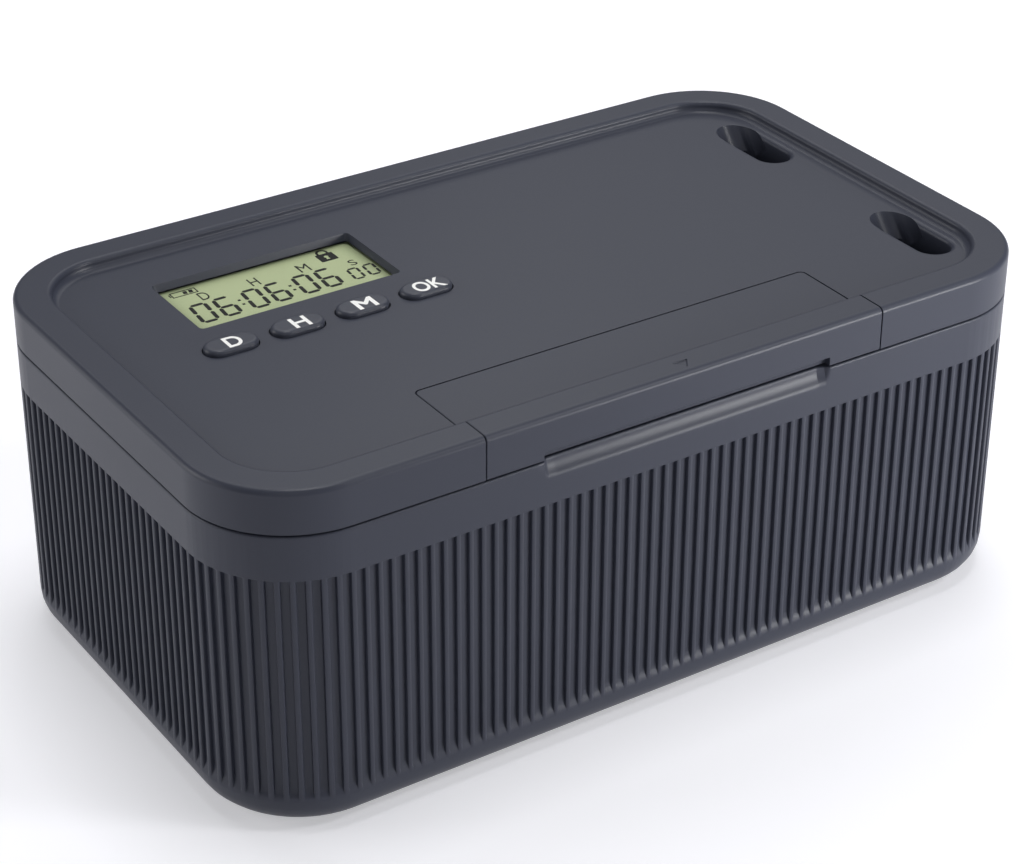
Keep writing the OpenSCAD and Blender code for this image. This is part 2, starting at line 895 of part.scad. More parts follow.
module board_screws() {
  color("gainsboro") placed() screws_up(board_posts, board_top - board_t, 5.5);
}

module button_switches() {
  color("#202225") placed() button_places() {
    translate([-switch_side / 2, -switch_side / 2, board_top]) cube([switch_side, switch_side, switch_h]);
    translate([0, 0, board_top + switch_h]) cylinder(r = switch_nub_r, h = nub_top - board_top - switch_h);
  }
}

module control_chip() {
  under = board_top - board_t;
  color("#1c1d20") placed() {
    block(-60, -48, 8, 20, under - 1.6, under - 0.2);
    for (i = [0 : 7], s = [-1, 1]) {
      block(-59.2 + i * 1.4, -58.6 + i * 1.4, 14 + s * 7 - 1.05, 14 + s * 7 + 1.05, under - 0.5, under);
    }
  }
}

module buzzer() {
  under = board_top - board_t;
  color("#1c1d20") placed() translate([-27, 20, under - 5]) difference() {
    cylinder(r = 6, h = 5);
    translate([0, 0, -past]) cylinder(r = 1, h = 2);
  }
}

// ---------------------------------------------------------------- cells

module cell(x0) {
  translate([x0, bay_y, cell_z]) rotate([0, 90, 0]) {
    cylinder(r = cell_r, h = cell_l - cell_nub_l);
    cylinder(r = cell_nub_r, h = cell_l);
  }
}

module battery_left() {
  color("#c8862f") placed() cell(cells_x0);
}

module battery_right() {
  color("#c8862f") placed() cell(cells_x0 + cell_l);
}

// a contact plate against the bay's end, its solder tab through the end wall
module contact_plate(x0, outward) {
  half = contact_side / 2;
  block(x0, x0 + contact_t, bay_y - half, bay_y + half, cell_z - half, cell_z + half);
  tab_x = outward > 0 ? x0 : x0 - contact_tab_l + contact_t;
  block(tab_x, tab_x + contact_tab_l, bay_y - contact_tab_w / 2, bay_y + contact_tab_w / 2,
        cell_z - contact_t / 2, cell_z + contact_t / 2);
}

module battery_contact_plus() {
  color("silver") placed() {
    contact_plate(bay_x1 - contact_t, 1);
    translate([cells_x1, bay_y, cell_z]) rotate([0, 90, 0]) cylinder(r = 3, h = plus_gap + contact_t / 2);
  }
}

// the spring leaf: a strip bent to a blunt V that presses on the cell
module battery_contact_minus() {
  reach = cells_x0 - bay_x0;
  color("silver") placed() {
    contact_plate(bay_x0, -1);
    translate([bay_x0, bay_y + 2, 0]) rotate([90, 0, 0]) linear_extrude(4)
      polygon([[0, cell_z + 4], [reach, cell_z + 0.6], [reach, cell_z - 0.6], [contact_t, cell_z - 4],
               [contact_t, cell_z - 3.2], [reach - 0.8, cell_z - 0.3], [reach - 0.8, cell_z + 0.3], [0, cell_z + 3.2]]);
  }
}

// a thin wire through a list of points
module wire(route, r) {
  for (i = [0 : len(route) - 2]) {
    step = route[i + 1] - route[i];
    run = norm(step);
    translate(route[i]) {
      rotate([0, acos(step[2] / run), atan2(step[1], step[0])]) cylinder(r = r, h = run, $fn = 16);
      sphere(r = 1.05 * r, $fn = 16);
    }
  }
}

wire_r = 0.6;

module battery_wires() {
  under = board_top - board_t;
  tab = contact_tab_l - contact_t + wire_r + 0.1;
  color("firebrick") placed() {
    wire([[bay_x0 - tab, bay_y, cell_z + 4], [bay_x0 - tab, bay_y, cell_z - 5],
          [bay_x0 - tab, -20, under - 3], [-66, -12, under - 3], [-66, -4, under - wire_r]], wire_r);
    wire([[bay_x1 + tab, bay_y, cell_z + 4], [bay_x1 + tab, bay_y, cell_z - 5],
          [bay_x1 + tab, -20, under - 3], [20, -8, under - 3], [-8, -6, under - 3], [-14, 2, under - wire_r]], wire_r);
  }
}

module motor_wires() {
  under = board_top - board_t;
  motor_end = gearbox_x + gearbox_l + motor_l;
  color("darkslateblue") placed() for (s = [-1, 1]) {
    bend_x = motor_end + 2.4 - 0.9 * s;
    wire([[motor_end + wire_r + 0.1, pinion_y + 3 * s, pinion_z], [bend_x, pinion_y + 3 * s, pinion_z + 1],
          [bend_x, -14 - 2 * s, pinion_z + 3], [0, -4 - 2 * s, under - 6],
          [-20, 6 - 2 * s, under - 3], [-20, 9 - 2 * s, under - wire_r]], wire_r);
  }
}

// ---------------------------------------------------------------- lock

// half the thickness angle of a pinion tooth at radius r, by the involute rule
function involute(a) = tan(a) - a * PI / 180;
function tooth_half(r) =
  (90 / pinion_teeth - gear_backlash / 4 / pinion_pitch_r * 180 / PI)
  + (involute(pressure_angle) - involute(acos(min(1, pinion_pitch_r * cos(pressure_angle) / r)))) * 180 / PI;

module pinion_tooth() {
  base_r = pinion_pitch_r * cos(pressure_angle);
  tip_r = pinion_pitch_r + 0.95 * gear_module;
  foot = pinion_root_r - 0.3;
  radii = [for (i = [0 : 5]) base_r + (tip_r - base_r) * i / 5];
  polygon(concat(
    [[foot * cos(tooth_half(base_r)), foot * sin(tooth_half(base_r))]],
    [for (r = radii) [r * cos(tooth_half(r)), r * sin(tooth_half(r))]],
    [for (i = [5 : -1 : 0]) [radii[i] * cos(tooth_half(radii[i])), -radii[i] * sin(tooth_half(radii[i]))]],
    [[foot * cos(tooth_half(base_r)), -foot * sin(tooth_half(base_r))]]
  ));
}

// the bolt's side view: y runs along the bolt, its rack faces up
module bolt_outline() {
  rack_y0 = pinion_y - 3 * rack_pitch;
  teeth = floor((bolt_end - rack_y0) / rack_pitch);
  root_z = rack_line_z - tooth_root * gear_module;
  tip_z = rack_line_z + 0.95 * gear_module;
  flank = tan(pressure_angle);
  half = rack_pitch / 4 - gear_backlash / 4;
  difference() {
    translate([bolt_tip, bolt_z]) square([bolt_end - bolt_tip, root_z - bolt_z]);
    translate([bolt_tip, bolt_z]) rotate(45) square(1.6, center = true);
  }
  translate([bolt_tip, root_z - 0.01]) square([rack_y0 - rack_pitch / 2 - bolt_tip, bolt_z + bolt_t - root_z]);
  for (i = [0 : teeth - 1]) {
    translate([rack_y0 + (i + 0.5) * rack_pitch, 0]) polygon([
      [-half - (rack_line_z - root_z + 0.1) * flank, root_z - 0.1],
      [half + (rack_line_z - root_z + 0.1) * flank, root_z - 0.1],
      [half - (tip_z - rack_line_z) * flank, tip_z],
      [-half + (tip_z - rack_line_z) * flank, tip_z]]);
  }
}

module lock_bolt() {
  color("silver") placed()
    translate([cover_x - bolt_w / 2, 0, 0]) rotate([90, 0, 90]) linear_extrude(bolt_w) bolt_outline();
}

module drive_pinion() {
  color("gold") placed() translate([cover_x - pinion_face / 2, pinion_y, pinion_z]) rotate([90, 0, 90])
    difference() {
      union() {
        cylinder(r = pinion_root_r, h = pinion_face);
        for (t = [0 : pinion_teeth - 1]) {
          rotate([0, 0, t * 360 / pinion_teeth - 90]) linear_extrude(pinion_face) pinion_tooth();
        }
      }
      translate([0, 0, -past]) cylinder(r = shaft_r, h = pinion_face + 2 * past);
    }
}

module output_shaft() {
  x0 = cover_x - pinion_face / 2;
  color("gainsboro") placed()
    translate([x0, pinion_y, pinion_z]) rotate([0, 90, 0]) cylinder(r = shaft_r, h = gearbox_x + 5 - x0);
}

module lock_motor() {
  can_x = gearbox_x + gearbox_l;
  color("#b9a36a") placed() difference() {
    union() {
      block(gearbox_x, can_x, pinion_y - motor_w / 2, pinion_y + motor_w / 2,
            pinion_z - motor_h / 2, pinion_z + motor_h / 2);
      intersection() {
        translate([can_x, pinion_y, pinion_z]) rotate([0, 90, 0]) cylinder(r = motor_w / 2, h = motor_l);
        block(can_x - past, can_x + motor_l + past, pinion_y - motor_w, pinion_y + motor_w,
              pinion_z - motor_h / 2, pinion_z + motor_h / 2);
      }
    }
    translate([gearbox_x - past, pinion_y, pinion_z]) rotate([0, 90, 0])
      cylinder(r = shaft_r + shaft_fit, h = past + 5 + part_gap);
  }
}

// a strap that holds the motor down
module motor_clamp() {
  z0 = pinion_z - motor_h / 2;
  out = motor_w / 2 + clamp_t;
  color("#9a9ca1") placed() difference() {
    union() {
      block(clamp_x, clamp_x + clamp_l, pinion_y - out, pinion_y + out, z0, pinion_z + motor_h / 2 + clamp_t);
      block(clamp_x, clamp_x + clamp_l, pinion_y - out - clamp_foot, pinion_y + out + clamp_foot, z0, z0 + clamp_t);
    }
    block(clamp_x - past, clamp_x + clamp_l + past, pinion_y - motor_w / 2, pinion_y + motor_w / 2,
          z0 - past, pinion_z + motor_h / 2);
    for (p = clamp_screws_at) {
      translate([p[0], p[1], z0 - past]) cylinder(r = shank_r + 0.2, h = clamp_t + 2 * past);
    }
  }
}

module clamp_screws() {
  z = pinion_z - motor_h / 2 + clamp_t;
  color("gainsboro") placed() for (p = clamp_screws_at) {
    translate([p[0], p[1], z]) rotate([180, 0, 0]) screw(4);
  }
}

// a bridge over the bolt
module bolt_guide() {
  z0 = bolt_z + bolt_t + part_gap;
  half = bolt_w / 2 + part_gap + guide_foot;
  color("#9a9ca1") placed() difference() {
    block(cover_x - half, cover_x + half, guide_y0, guide_y1, z0, z0 + guide_t);
    for (p = guide_screws_at) {
      translate([p[0], p[1], z0 - past]) cylinder(r = shank_r + 0.2, h = guide_t + 2 * past);
    }
  }
}

module guide_screws() {
  z = bolt_z + bolt_t + part_gap + guide_t;
  color("gainsboro") placed() for (p = guide_screws_at) {
    translate([p[0], p[1], z]) rotate([180, 0, 0]) screw(4);
  }
}

// ---------------------------------------------------------------- battery cover

module battery_cover() {
  color(lid_colour) placed() difference() {
    union() {
      intersection() {
        union() {
          around(body_l, body_w, corner_r) difference() {
            lid_profile(lid_bottom);
            lid_hollow(cover_skirt, cover_under);
          }
          inset_plate(sweep_in, cover_under, deck_z);
        }
        rear_rounded(cover_x0, cover_x1, front_y - past, -cover_rear, cover_round,
                     lid_bottom - past, body_h + past);
      }
      block(cover_x0 + tongue_end, cover_x1 - tongue_end, -cover_rear - past, -cover_rear + tongue_out,
            cover_under, cover_under + tongue_t);
      block(cover_x0 + 1, cover_x1 - 1, front_y + cover_skirt - past, front_y + cover_skirt + lip_in,
            lid_bottom, lip_top);
    }
    block(cover_x - finger_l / 2, cover_x + finger_l / 2, front_y - past, front_y + finger_in,
          lid_bottom - past, lid_bottom + finger_up);
    translate([cover_x, front_y + mark_rear, body_h - mark_deep]) linear_extrude(past)
      polygon([[-mark_half, 0], [mark_half, 0], [0, -mark_len]]);
  }
}

// ---------------------------------------------------------------- buttons

// the rounded outer part of a button's cap
module button_profile() {
  top = deck_z + button_proud;
  difference() {
    translate([0, button_flange_top - past]) square([button_core + 0.3, top - button_flange_top + past]);
    translate([0, top]) mirror([0, 1]) corner_bite(button_round);
  }
}

// a pill-shaped cap, the flange that keeps it in and the stem over the switch
module button(index) {
  color(button_colour) placed() translate([button_x + index * button_pitch, button_y, 0]) {
    around(button_l, button_w, button_w / 2) button_profile();
    round_plate(button_l - 2 * button_core, button_w - 2 * button_core, button_w / 2 - button_core - 0.01,
                button_flange_top - past, deck_z + button_proud);
    round_plate(button_l + 2 * button_flange, button_w + 2 * button_flange, button_w / 2 + button_flange - 0.01,
                button_flange_top - button_flange_t, button_flange_top);
    translate([0, 0, button_stem_z]) cylinder(r = button_stem_r, h = button_flange_top - button_stem_z);
  }
}

module button_day() button(0);
module button_hour() button(1);
module button_minute() button(2);
module button_ok() button(3);

tub();
feet();
keeper_plate();
keeper_screws();
hinge_pins();
lid_shell();
inner_cover();
inner_cover_screws();
lock_housing();
housing_screws();
display_lens();
display_panel();
display_frame();
display_contact_strips();
main_board();
board_screws();
button_switches();
control_chip();
buzzer();
battery_left();
battery_right();
battery_contact_plus();
battery_contact_minus();
battery_wires();
motor_wires();
lock_motor();
motor_clamp();
clamp_screws();
bolt_guide();
guide_screws();
lock_bolt();
output_shaft();
drive_pinion();
battery_cover();
button_day();
button_hour();
button_minute();
button_ok();
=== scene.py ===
# %% [markdown]
# # A timed lock container, dressed for its photograph
#
# The solids of this box come from a CAD frame at their real size. This lesson
# gives them their looks in Blender: rounded ribs, moulded plastic, a liquid
# crystal display, printed buttons, screws and cells. Every piece is made where
# it belongs, in metres, and then rides on the body that moves it.

# %% Load the frame
import json
import math

import bmesh
import bpy
from mathutils import Matrix, Vector

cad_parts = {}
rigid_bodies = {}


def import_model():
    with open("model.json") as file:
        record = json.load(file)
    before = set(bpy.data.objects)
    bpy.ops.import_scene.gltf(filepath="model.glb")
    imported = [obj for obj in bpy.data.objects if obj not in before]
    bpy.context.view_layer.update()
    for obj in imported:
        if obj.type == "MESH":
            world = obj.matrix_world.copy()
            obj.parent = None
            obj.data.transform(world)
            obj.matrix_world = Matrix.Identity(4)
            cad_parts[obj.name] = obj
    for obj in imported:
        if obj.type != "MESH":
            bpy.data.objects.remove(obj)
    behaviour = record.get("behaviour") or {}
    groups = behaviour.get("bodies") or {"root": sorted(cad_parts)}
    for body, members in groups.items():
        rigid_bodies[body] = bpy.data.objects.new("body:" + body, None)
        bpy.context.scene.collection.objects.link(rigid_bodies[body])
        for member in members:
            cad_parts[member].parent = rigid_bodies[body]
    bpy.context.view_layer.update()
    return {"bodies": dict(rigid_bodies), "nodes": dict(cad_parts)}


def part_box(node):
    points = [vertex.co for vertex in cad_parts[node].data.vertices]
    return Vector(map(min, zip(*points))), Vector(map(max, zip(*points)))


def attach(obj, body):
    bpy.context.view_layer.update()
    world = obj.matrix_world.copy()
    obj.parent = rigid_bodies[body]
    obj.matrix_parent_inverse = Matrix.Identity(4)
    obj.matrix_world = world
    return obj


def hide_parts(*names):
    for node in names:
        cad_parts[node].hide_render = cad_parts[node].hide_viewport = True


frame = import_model()
MM = 0.001
print("bodies:", ", ".join(frame["bodies"]))

# %% [markdown]
# ## A small language for node trees
#
# Shaders and Geometry Nodes are both trees of nodes, and both need sums. Drawn
# by hand, a sum is a row of Math nodes. Here one small class wraps an output
# socket and overloads Python's operators, so that a formula reads as a formula
# and still leaves ordinary Math nodes in the file.


# %% Sockets that can be added and multiplied
class Value:
    """An output socket of a tree, on which arithmetic adds Math nodes."""

    def __init__(self, tree, socket):
        self.tree = tree
        self.socket = socket

    def math(self, operation, *others):
        """A Math node whose first term is this socket."""
        return self.tree.math(operation, self, *others)

    def __add__(self, other):
        return self.math("ADD", other)

    def __radd__(self, other):
        return self.tree.math("ADD", other, self)

    def __sub__(self, other):
        return self.math("SUBTRACT", other)

    def __rsub__(self, other):
        return self.tree.math("SUBTRACT", other, self)

    def __mul__(self, other):
        return self.math("MULTIPLY", other)

    def __rmul__(self, other):
        return self.tree.math("MULTIPLY", other, self)

    def __truediv__(self, other):
        return self.math("DIVIDE", other)

    def __rtruediv__(self, other):
        return self.tree.math("DIVIDE", other, self)

    def __mod__(self, other):
        return self.math("FLOORED_MODULO", other)

    def __lt__(self, other):
        return self.math("LESS_THAN", other)

    def __gt__(self, other):
        return self.math("GREATER_THAN", other)

    def __abs__(self):
        return self.math("ABSOLUTE")

    def at_least(self, other):
        return self.math("MAXIMUM", other)

    def at_most(self, other):
        return self.math("MINIMUM", other)

    def root(self):
        return self.math("SQRT")


print("operators ready")

# %% [markdown]
# The tree gets a class as well. It adds a node together with its settings and
# its links in one call, and has short names for the nodes that come often.


# %% Trees that are filled one node at a time
class Tree:
    """A node tree that is filled one node at a time."""

    def __init__(self, node_tree):
        self.nodes = node_tree.nodes
        self.links = node_tree.links
        self.interface = node_tree.interface

    def add(self, kind, settings=None, sockets=None, out=0):
        """Adds a node: its settings first, then the values or links of its sockets."""
        node = self.nodes.new(kind)
        for key, setting in (settings or {}).items():
            setattr(node, key, setting)
        for key, term in (sockets or {}).items():
            self.fill(node.inputs[key], term)
        return Value(self, node.outputs[out])

    def fill(self, socket, term):
        """Links a value to an input socket, or sets the socket to a constant."""
        if isinstance(term, Value):
            self.links.new(term.socket, socket)
        else:
            socket.default_value = term

    def gather(self, kind, settings, key, parts):
        """Adds a node with a socket that takes several parts."""
        gathered = self.add(kind, settings)
        for part in parts:
            self.fill(gathered.socket.node.inputs[key], part)
        return gathered

    def math(self, operation, *terms):
        return self.add("ShaderNodeMath", {"operation": operation}, dict(enumerate(terms)))

    def clamp(self, value, high):
        """A value kept between 0 and high."""
        return self.add("ShaderNodeClamp", None, {"Value": value, "Min": 0.0, "Max": high})

    def smooth(self, value, low, high):
        """Rises softly from 0 at low to 1 at high."""
        settings = {"interpolation_type": "SMOOTHSTEP"}
        return self.add("ShaderNodeMapRange", settings, {"Value": value, "From Min": low, "From Max": high})

    def mix_colour(self, factor, first, second):
        return self.add("ShaderNodeMix", {"data_type": "RGBA"}, {0: factor, 6: first, 7: second}, out=2)

    def join(self, x=0.0, y=0.0, z=0.0):
        """A vector from its three components."""
        return self.add("ShaderNodeCombineXYZ", None, {0: x, 1: y, 2: z})

    def split(self, vector):
        """The three components of a vector."""
        node = self.nodes.new("ShaderNodeSeparateXYZ")
        self.links.new(vector.socket, node.inputs[0])
        return [Value(self, output) for output in node.outputs]


print("trees ready")

# %% [markdown]
# ## Colours as they are seen
#
# A colour picker shows sRGB numbers from 0 to 255, while shaders want linear
# light. One function does the change, so that every colour below can be
# written as it would be read off a colour card.


# %% From a colour card to linear light
def colour(red, green, blue):
    """An sRGB colour, 0 to 255, as a linear RGBA tuple."""
    channels = []
    for level in (red, green, blue):
        share = level / 255
        channels.append(share / 12.92 if share <= 0.04045 else ((share + 0.055) / 1.055) ** 2.4)
    return (*channels, 1)


def scaled(tint, factor):
    """A linear colour made lighter or darker."""
    return (*(min(1, level * factor) for level in tint[:3]), 1)


SLATE = colour(55, 58, 70)
print("slate in linear light:", [round(level, 3) for level in SLATE[:3]])

# %% [markdown]
# ## Moulded plastic
#
# The box is injection-moulded in a dark slate plastic. The mould is finely
# etched, so the skin has a grain of a fraction of a millimetre and a broad,
# dull sheen. A flat colour with one roughness would look like paint, so three
# things vary: a fine noise lifts the surface through a Bump node, a slow one
# changes the roughness where the skin flowed differently, and the colour
# drifts by a few hundredths. A thin coat over it keeps a faint shine where the
# light comes in low. All patterns read Object coordinates, which lie still on
# the piece from every side.


# %% Materials of moulded plastic
def new_material(name):
    """A material whose tree holds only a Principled shader, and that tree."""
    material = bpy.data.materials.new(name)
    material.use_nodes = True
    tree = Tree(material.node_tree)
    shader = material.node_tree.nodes["Principled BSDF"]
    return material, tree, shader


def noise(tree, place, scale, detail=2.0):
    """Noise from 0 to 1, with scale features to the metre."""
    return tree.add("ShaderNodeTexNoise", None, {"Vector": place, "Scale": scale, "Detail": detail})


def object_place(tree):
    return tree.add("ShaderNodeTexCoord", out=3)


def bump(tree, shader, height, distance):
    """Lifts the surface by a height from 0 to 1, at most by the distance in mm."""
    relief = tree.add("ShaderNodeBump", None, {"Height": height, "Distance": distance * MM, "Strength": 1.0})
    tree.links.new(relief.socket, shader.inputs["Normal"])


def feed(tree, shader, **inputs):
    """Fills the shader's sockets, named with _ for a space, with values or constants."""
    for name, value in inputs.items():
        tree.fill(shader.inputs[name.replace("_", " ")], value)


def moulded(name, tint, rough=0.56, grain=0.02):
    """Etched plastic under a thin coat: tint is its colour, grain the etching's height in mm."""
    material, tree, shader = new_material(name)
    place = object_place(tree)
    etching = noise(tree, place, 2600, 3)
    flow = noise(tree, place, 22)
    feed(tree, shader,
         Base_Color=tree.mix_colour(flow, tint, scaled(tint, 1.08)),
         Roughness=rough + (flow - 0.5) * 0.08 + (etching - 0.5) * 0.10,
         Specular_IOR_Level=0.15, Coat_Weight=0.32, Coat_Roughness=0.3)
    bump(tree, shader, etching, grain)
    return material


tub_plastic = moulded("tub_plastic", SLATE)
lid_plastic = moulded("lid_plastic", SLATE)
inner_plastic = moulded("inner_plastic", colour(50, 53, 62), rough=0.58)
button_plastic = moulded("button_plastic", colour(60, 63, 74), rough=0.42, grain=0.008)
frame_plastic = moulded("frame_plastic", colour(42, 43, 47), rough=0.55)
part_black = moulded("part_black", colour(28, 29, 32), rough=0.45, grain=0.01)
foot_rubber = moulded("foot_rubber", colour(24, 25, 28), rough=0.8, grain=0.05)
print("moulded plastics made")

# %% [markdown]
# ## Metals, glass and the rest
#
# Zinc-plated steel is bright but never clean: fine scratches run through it,
# so its roughness is stretched noise. Brass and the motor's can are the same
# recipe in other colours. The lens is clear and thin: almost transparent, with
# a faint gloss, because real refraction would only slow the render for so thin
# a pane.


# %% Metals
SCRATCHES = (900, 60, 60)  # how closely they follow each other along X, Y and Z


def metal(name, tint, rough=0.32):
    """Plated metal with drawn scratches."""
    material, tree, shader = new_material(name)
    place = object_place(tree)
    stretched = tree.add("ShaderNodeVectorMath", {"operation": "MULTIPLY"}, {0: place, 1: SCRATCHES})
    lines = noise(tree, stretched, 6, 4)
    cloud = noise(tree, place, 160)
    feed(tree, shader,
         Base_Color=tree.mix_colour(cloud, scaled(tint, 0.72), tint),
         Roughness=rough + (lines - 0.5) * 0.25, Metallic=1.0)
    bump(tree, shader, lines, 0.01)
    return material


zinc_steel = metal("zinc_steel", colour(200, 203, 208))
spring_steel = metal("spring_steel", colour(214, 212, 206), rough=0.25)
gear_brass = metal("gear_brass", colour(214, 178, 104), rough=0.3)
motor_metal = metal("motor_metal", colour(186, 186, 184), rough=0.35)
print("metals made")


# %% Display glass, lens, ink, board, wires
def display_glass():
    """The green reflector of a liquid crystal display, with painted shade darkening it towards its edges."""
    material, tree, shader = new_material("display_glass")
    place = object_place(tree)
    low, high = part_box("display_panel")
    middle = (low + high) / 2
    x, y, _ = tree.split(place)
    across = abs(x - middle.x) / ((high.x - low.x) / 2)
    along = abs(y - middle.y) / ((high.y - low.y) / 2)
    # painted shade: the panel darkens towards its edges, where the walls of its recess shade it
    edge = tree.smooth(across.at_least(along), 0.82, 1.0)
    grain = noise(tree, place, 4200, 1)
    green = tree.mix_colour(grain, colour(192, 204, 160), colour(200, 212, 168))
    # the darker green mixed in at the edges is painted shade
    feed(tree, shader,
         Base_Color=tree.mix_colour(edge * 0.55, green, colour(122, 134, 100)),
         Roughness=0.55, Specular_IOR_Level=0.2)
    return material


def lens_clear():
    """A clear pane, of which little more than the gloss is seen."""
    material, tree, shader = new_material("lens_clear")
    feed(tree, shader,
         Base_Color=colour(40, 44, 42), Roughness=0.06, Alpha=0.06, Specular_IOR_Level=0.5)
    return material


def plain(name, tint, rough):
    """An even finish with a faint grain."""
    material, tree, shader = new_material(name)
    speckle = noise(tree, object_place(tree), 1500)
    feed(tree, shader, Base_Color=tree.mix_colour(speckle, scaled(tint, 0.85), tint), Roughness=rough)
    bump(tree, shader, speckle, 0.01)
    return material


def board_laminate():
    """Green solder mask over copper tracks that show as lighter lines."""
    material, tree, shader = new_material("board_laminate")
    place = object_place(tree)
    x, y, _ = tree.split(place)
    bend = noise(tree, place, 60, 0)
    tracks = tree.smooth(abs((x * 240 + bend * 1.5) % 1 - 0.5), 0.28, 0.22)
    rows = tree.smooth(abs((y * 300 + bend) % 1 - 0.5), 0.24, 0.18)
    copper = tracks.at_least(rows)
    feed(tree, shader,
         Base_Color=tree.mix_colour(copper, colour(24, 78, 44), colour(52, 118, 66)),
         Roughness=0.35 + copper * 0.1)
    bump(tree, shader, copper, 0.035)
    return material


display_material = display_glass()
lens_material = lens_clear()
board_material = board_laminate()
segment_ink = plain("segment_ink", colour(9, 12, 10), 0.7)
legend_ink = plain("legend_ink", colour(255, 255, 253), 0.45)
contact_rubber = plain("contact_rubber", colour(120, 122, 126), 0.7)
wire_red = plain("wire_red", colour(150, 34, 30), 0.4)
wire_blue = plain("wire_blue", colour(42, 50, 120), 0.4)
print("display, lens, inks, board and wires made")

# %% [markdown]
# ## Geometry Nodes from Python
#
# A Geometry Nodes tree is a recipe with named inputs. The helpers below open
# such a tree, and run one: they put it on an object as a modifier, set its
# inputs, take the result as a plain mesh, and drop the modifier, so that what
# is left is a mesh like any other.


# %% Helpers for geometry trees
def open_recipe(name, sizes, turns=()):
    """A geometry tree with inputs for a geometry, for each size and turn, and for a material."""
    group = bpy.data.node_groups.new(name, "GeometryNodeTree")
    tree = Tree(group)
    kinds = {"Geometry": "Geometry", **dict.fromkeys(sizes, "Float"),
             **dict.fromkeys(turns, "Rotation"), "Material": "Material"}
    for label, kind in kinds.items():
        tree.interface.new_socket(label, in_out="INPUT", socket_type="NodeSocket" + kind)
    tree.interface.new_socket("Geometry", in_out="OUTPUT", socket_type="NodeSocketGeometry")
    start = group.nodes.new("NodeGroupInput")
    inputs = {socket.name: Value(tree, socket) for socket in start.outputs if socket.name}
    return group, tree, inputs


def close_recipe(tree, size, geometry):
    """Gives the geometry the recipe's material and makes it the result."""
    painted = tree.add("GeometryNodeSetMaterial", None,
                       {"Geometry": geometry, "Material": size["Material"]})
    end = tree.nodes.new("NodeGroupOutput")
    tree.links.new(painted.socket, end.inputs[0])


def new_object(name, mesh):
    piece = bpy.data.objects.new(name, mesh)
    bpy.context.scene.collection.objects.link(piece)
    return piece


def mesh_of(name, vertices, edges=(), faces=()):
    mesh = bpy.data.meshes.new(name)
    mesh.from_pydata([tuple(v) for v in vertices], list(edges), list(faces))
    return mesh


def baked(name, maker):
    """The plain mesh that an object shows; the object itself is removed."""
    evaluated = maker.evaluated_get(bpy.context.evaluated_depsgraph_get())
    mesh = bpy.data.meshes.new_from_object(evaluated)
    mesh.name = name
    bpy.data.objects.remove(maker)
    return mesh


def run_recipe(name, group, mesh, sizes):
    """Runs a geometry tree on a mesh and returns an object with the plain result."""
    maker = new_object(name + "_maker", mesh)
    modifier = maker.modifiers.new("recipe", "NODES")
    modifier.node_group = group
    for socket in group.interface.items_tree:
        if socket.item_type == "SOCKET" and socket.name in sizes:
            modifier[socket.identifier] = sizes[socket.name]
    return new_object(name, baked(name, maker))


def shade(piece, material=None, angle=32):
    """Smooth shading, with sharp edges where faces meet at more than the angle."""
    mesh = piece.data
    if material:
        mesh.materials.clear()
        mesh.materials.append(material)
    mesh.shade_smooth()
    mesh.set_sharp_from_angle(angle=math.radians(angle))
    return piece


def weigh_normals(piece):
    """Lets large faces rule the shading, so that a small rounding leaves them flat."""
    modifier = piece.modifiers.new("weighted", "WEIGHTED_NORMAL")
    modifier.keep_sharp = True
    modifier.weight = 80


def finish_piece(piece, body, slot, *nodes):
    """Gives a piece its body and hides the nodes that it stands for; slot is not used."""
    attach(piece, body)
    if nodes:
        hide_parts(*nodes)
    print(f"{piece.name}: {len(piece.data.polygons)} faces on {body}")


print("helpers for recipes and pieces ready")

# %% [markdown]
# ## The ribbed tub
#
# The tub's wall carries 200 upright grooves. They stop square under a plain
# band and run out in an arc towards the rounded bottom edge. Cutting them one
# by one with booleans gives hard edges, but light catches the ribs on their
# rounded corners. So the whole tub is grown from a rule instead: a grid whose
# columns stand round the box's outline and whose rows follow a profile. Eight
# columns serve each groove, close together where its edges are rounded. The
# surface moves inwards by the groove's depth, and nothing has to be cut.
#
# The outline is a neat one to compute. A point runs round the inner rectangle,
# and the radius turns through the corners: their sum is a rounded rectangle.

# %% The recipe for a ribbed, swept shell
COLUMNS_PER_GROOVE = 8
MERGE = 0.002 * MM  # points closer together than this are one point
RIB_SIZES = ("Length", "Width", "Corner", "Ribs long", "Ribs short", "Ribs corner",
             "Groove width", "Groove depth", "Edge", "Rib top", "Fade start", "Fade radius",
             "Scoop middle", "Scoop length", "Scoop depth", "Scoop radius", "Scoop top")
OUTSIDE = 1 * MM  # rows with less inset than this lie on the outer face
WALL_DRAFT = 0.03 * MM  # how far a groove's wall leans
NO_LIMIT = 1.0  # a depth in metres that no groove reaches
FRONT_TURN = -1.57  # the outline's turn at the right end of the front face, nearly -90 degrees
SCOOP_END = 2 * MM  # the scoop begins to narrow this far from its ends
LIP_ROUND = 0.4 * MM  # how softly its lip runs out
LIP_TAIL = 0.012 * MM  # a soft lip never quite ends, so this much is taken off


def rounded(beyond, edge):
    """How deep a rounded edge lies at a distance beyond a groove's wall; no limit inside the wall."""
    share = (1 - beyond / edge).at_least(0)
    return edge - edge * (1 - share * share).root() + (beyond < 0) * NO_LIMIT


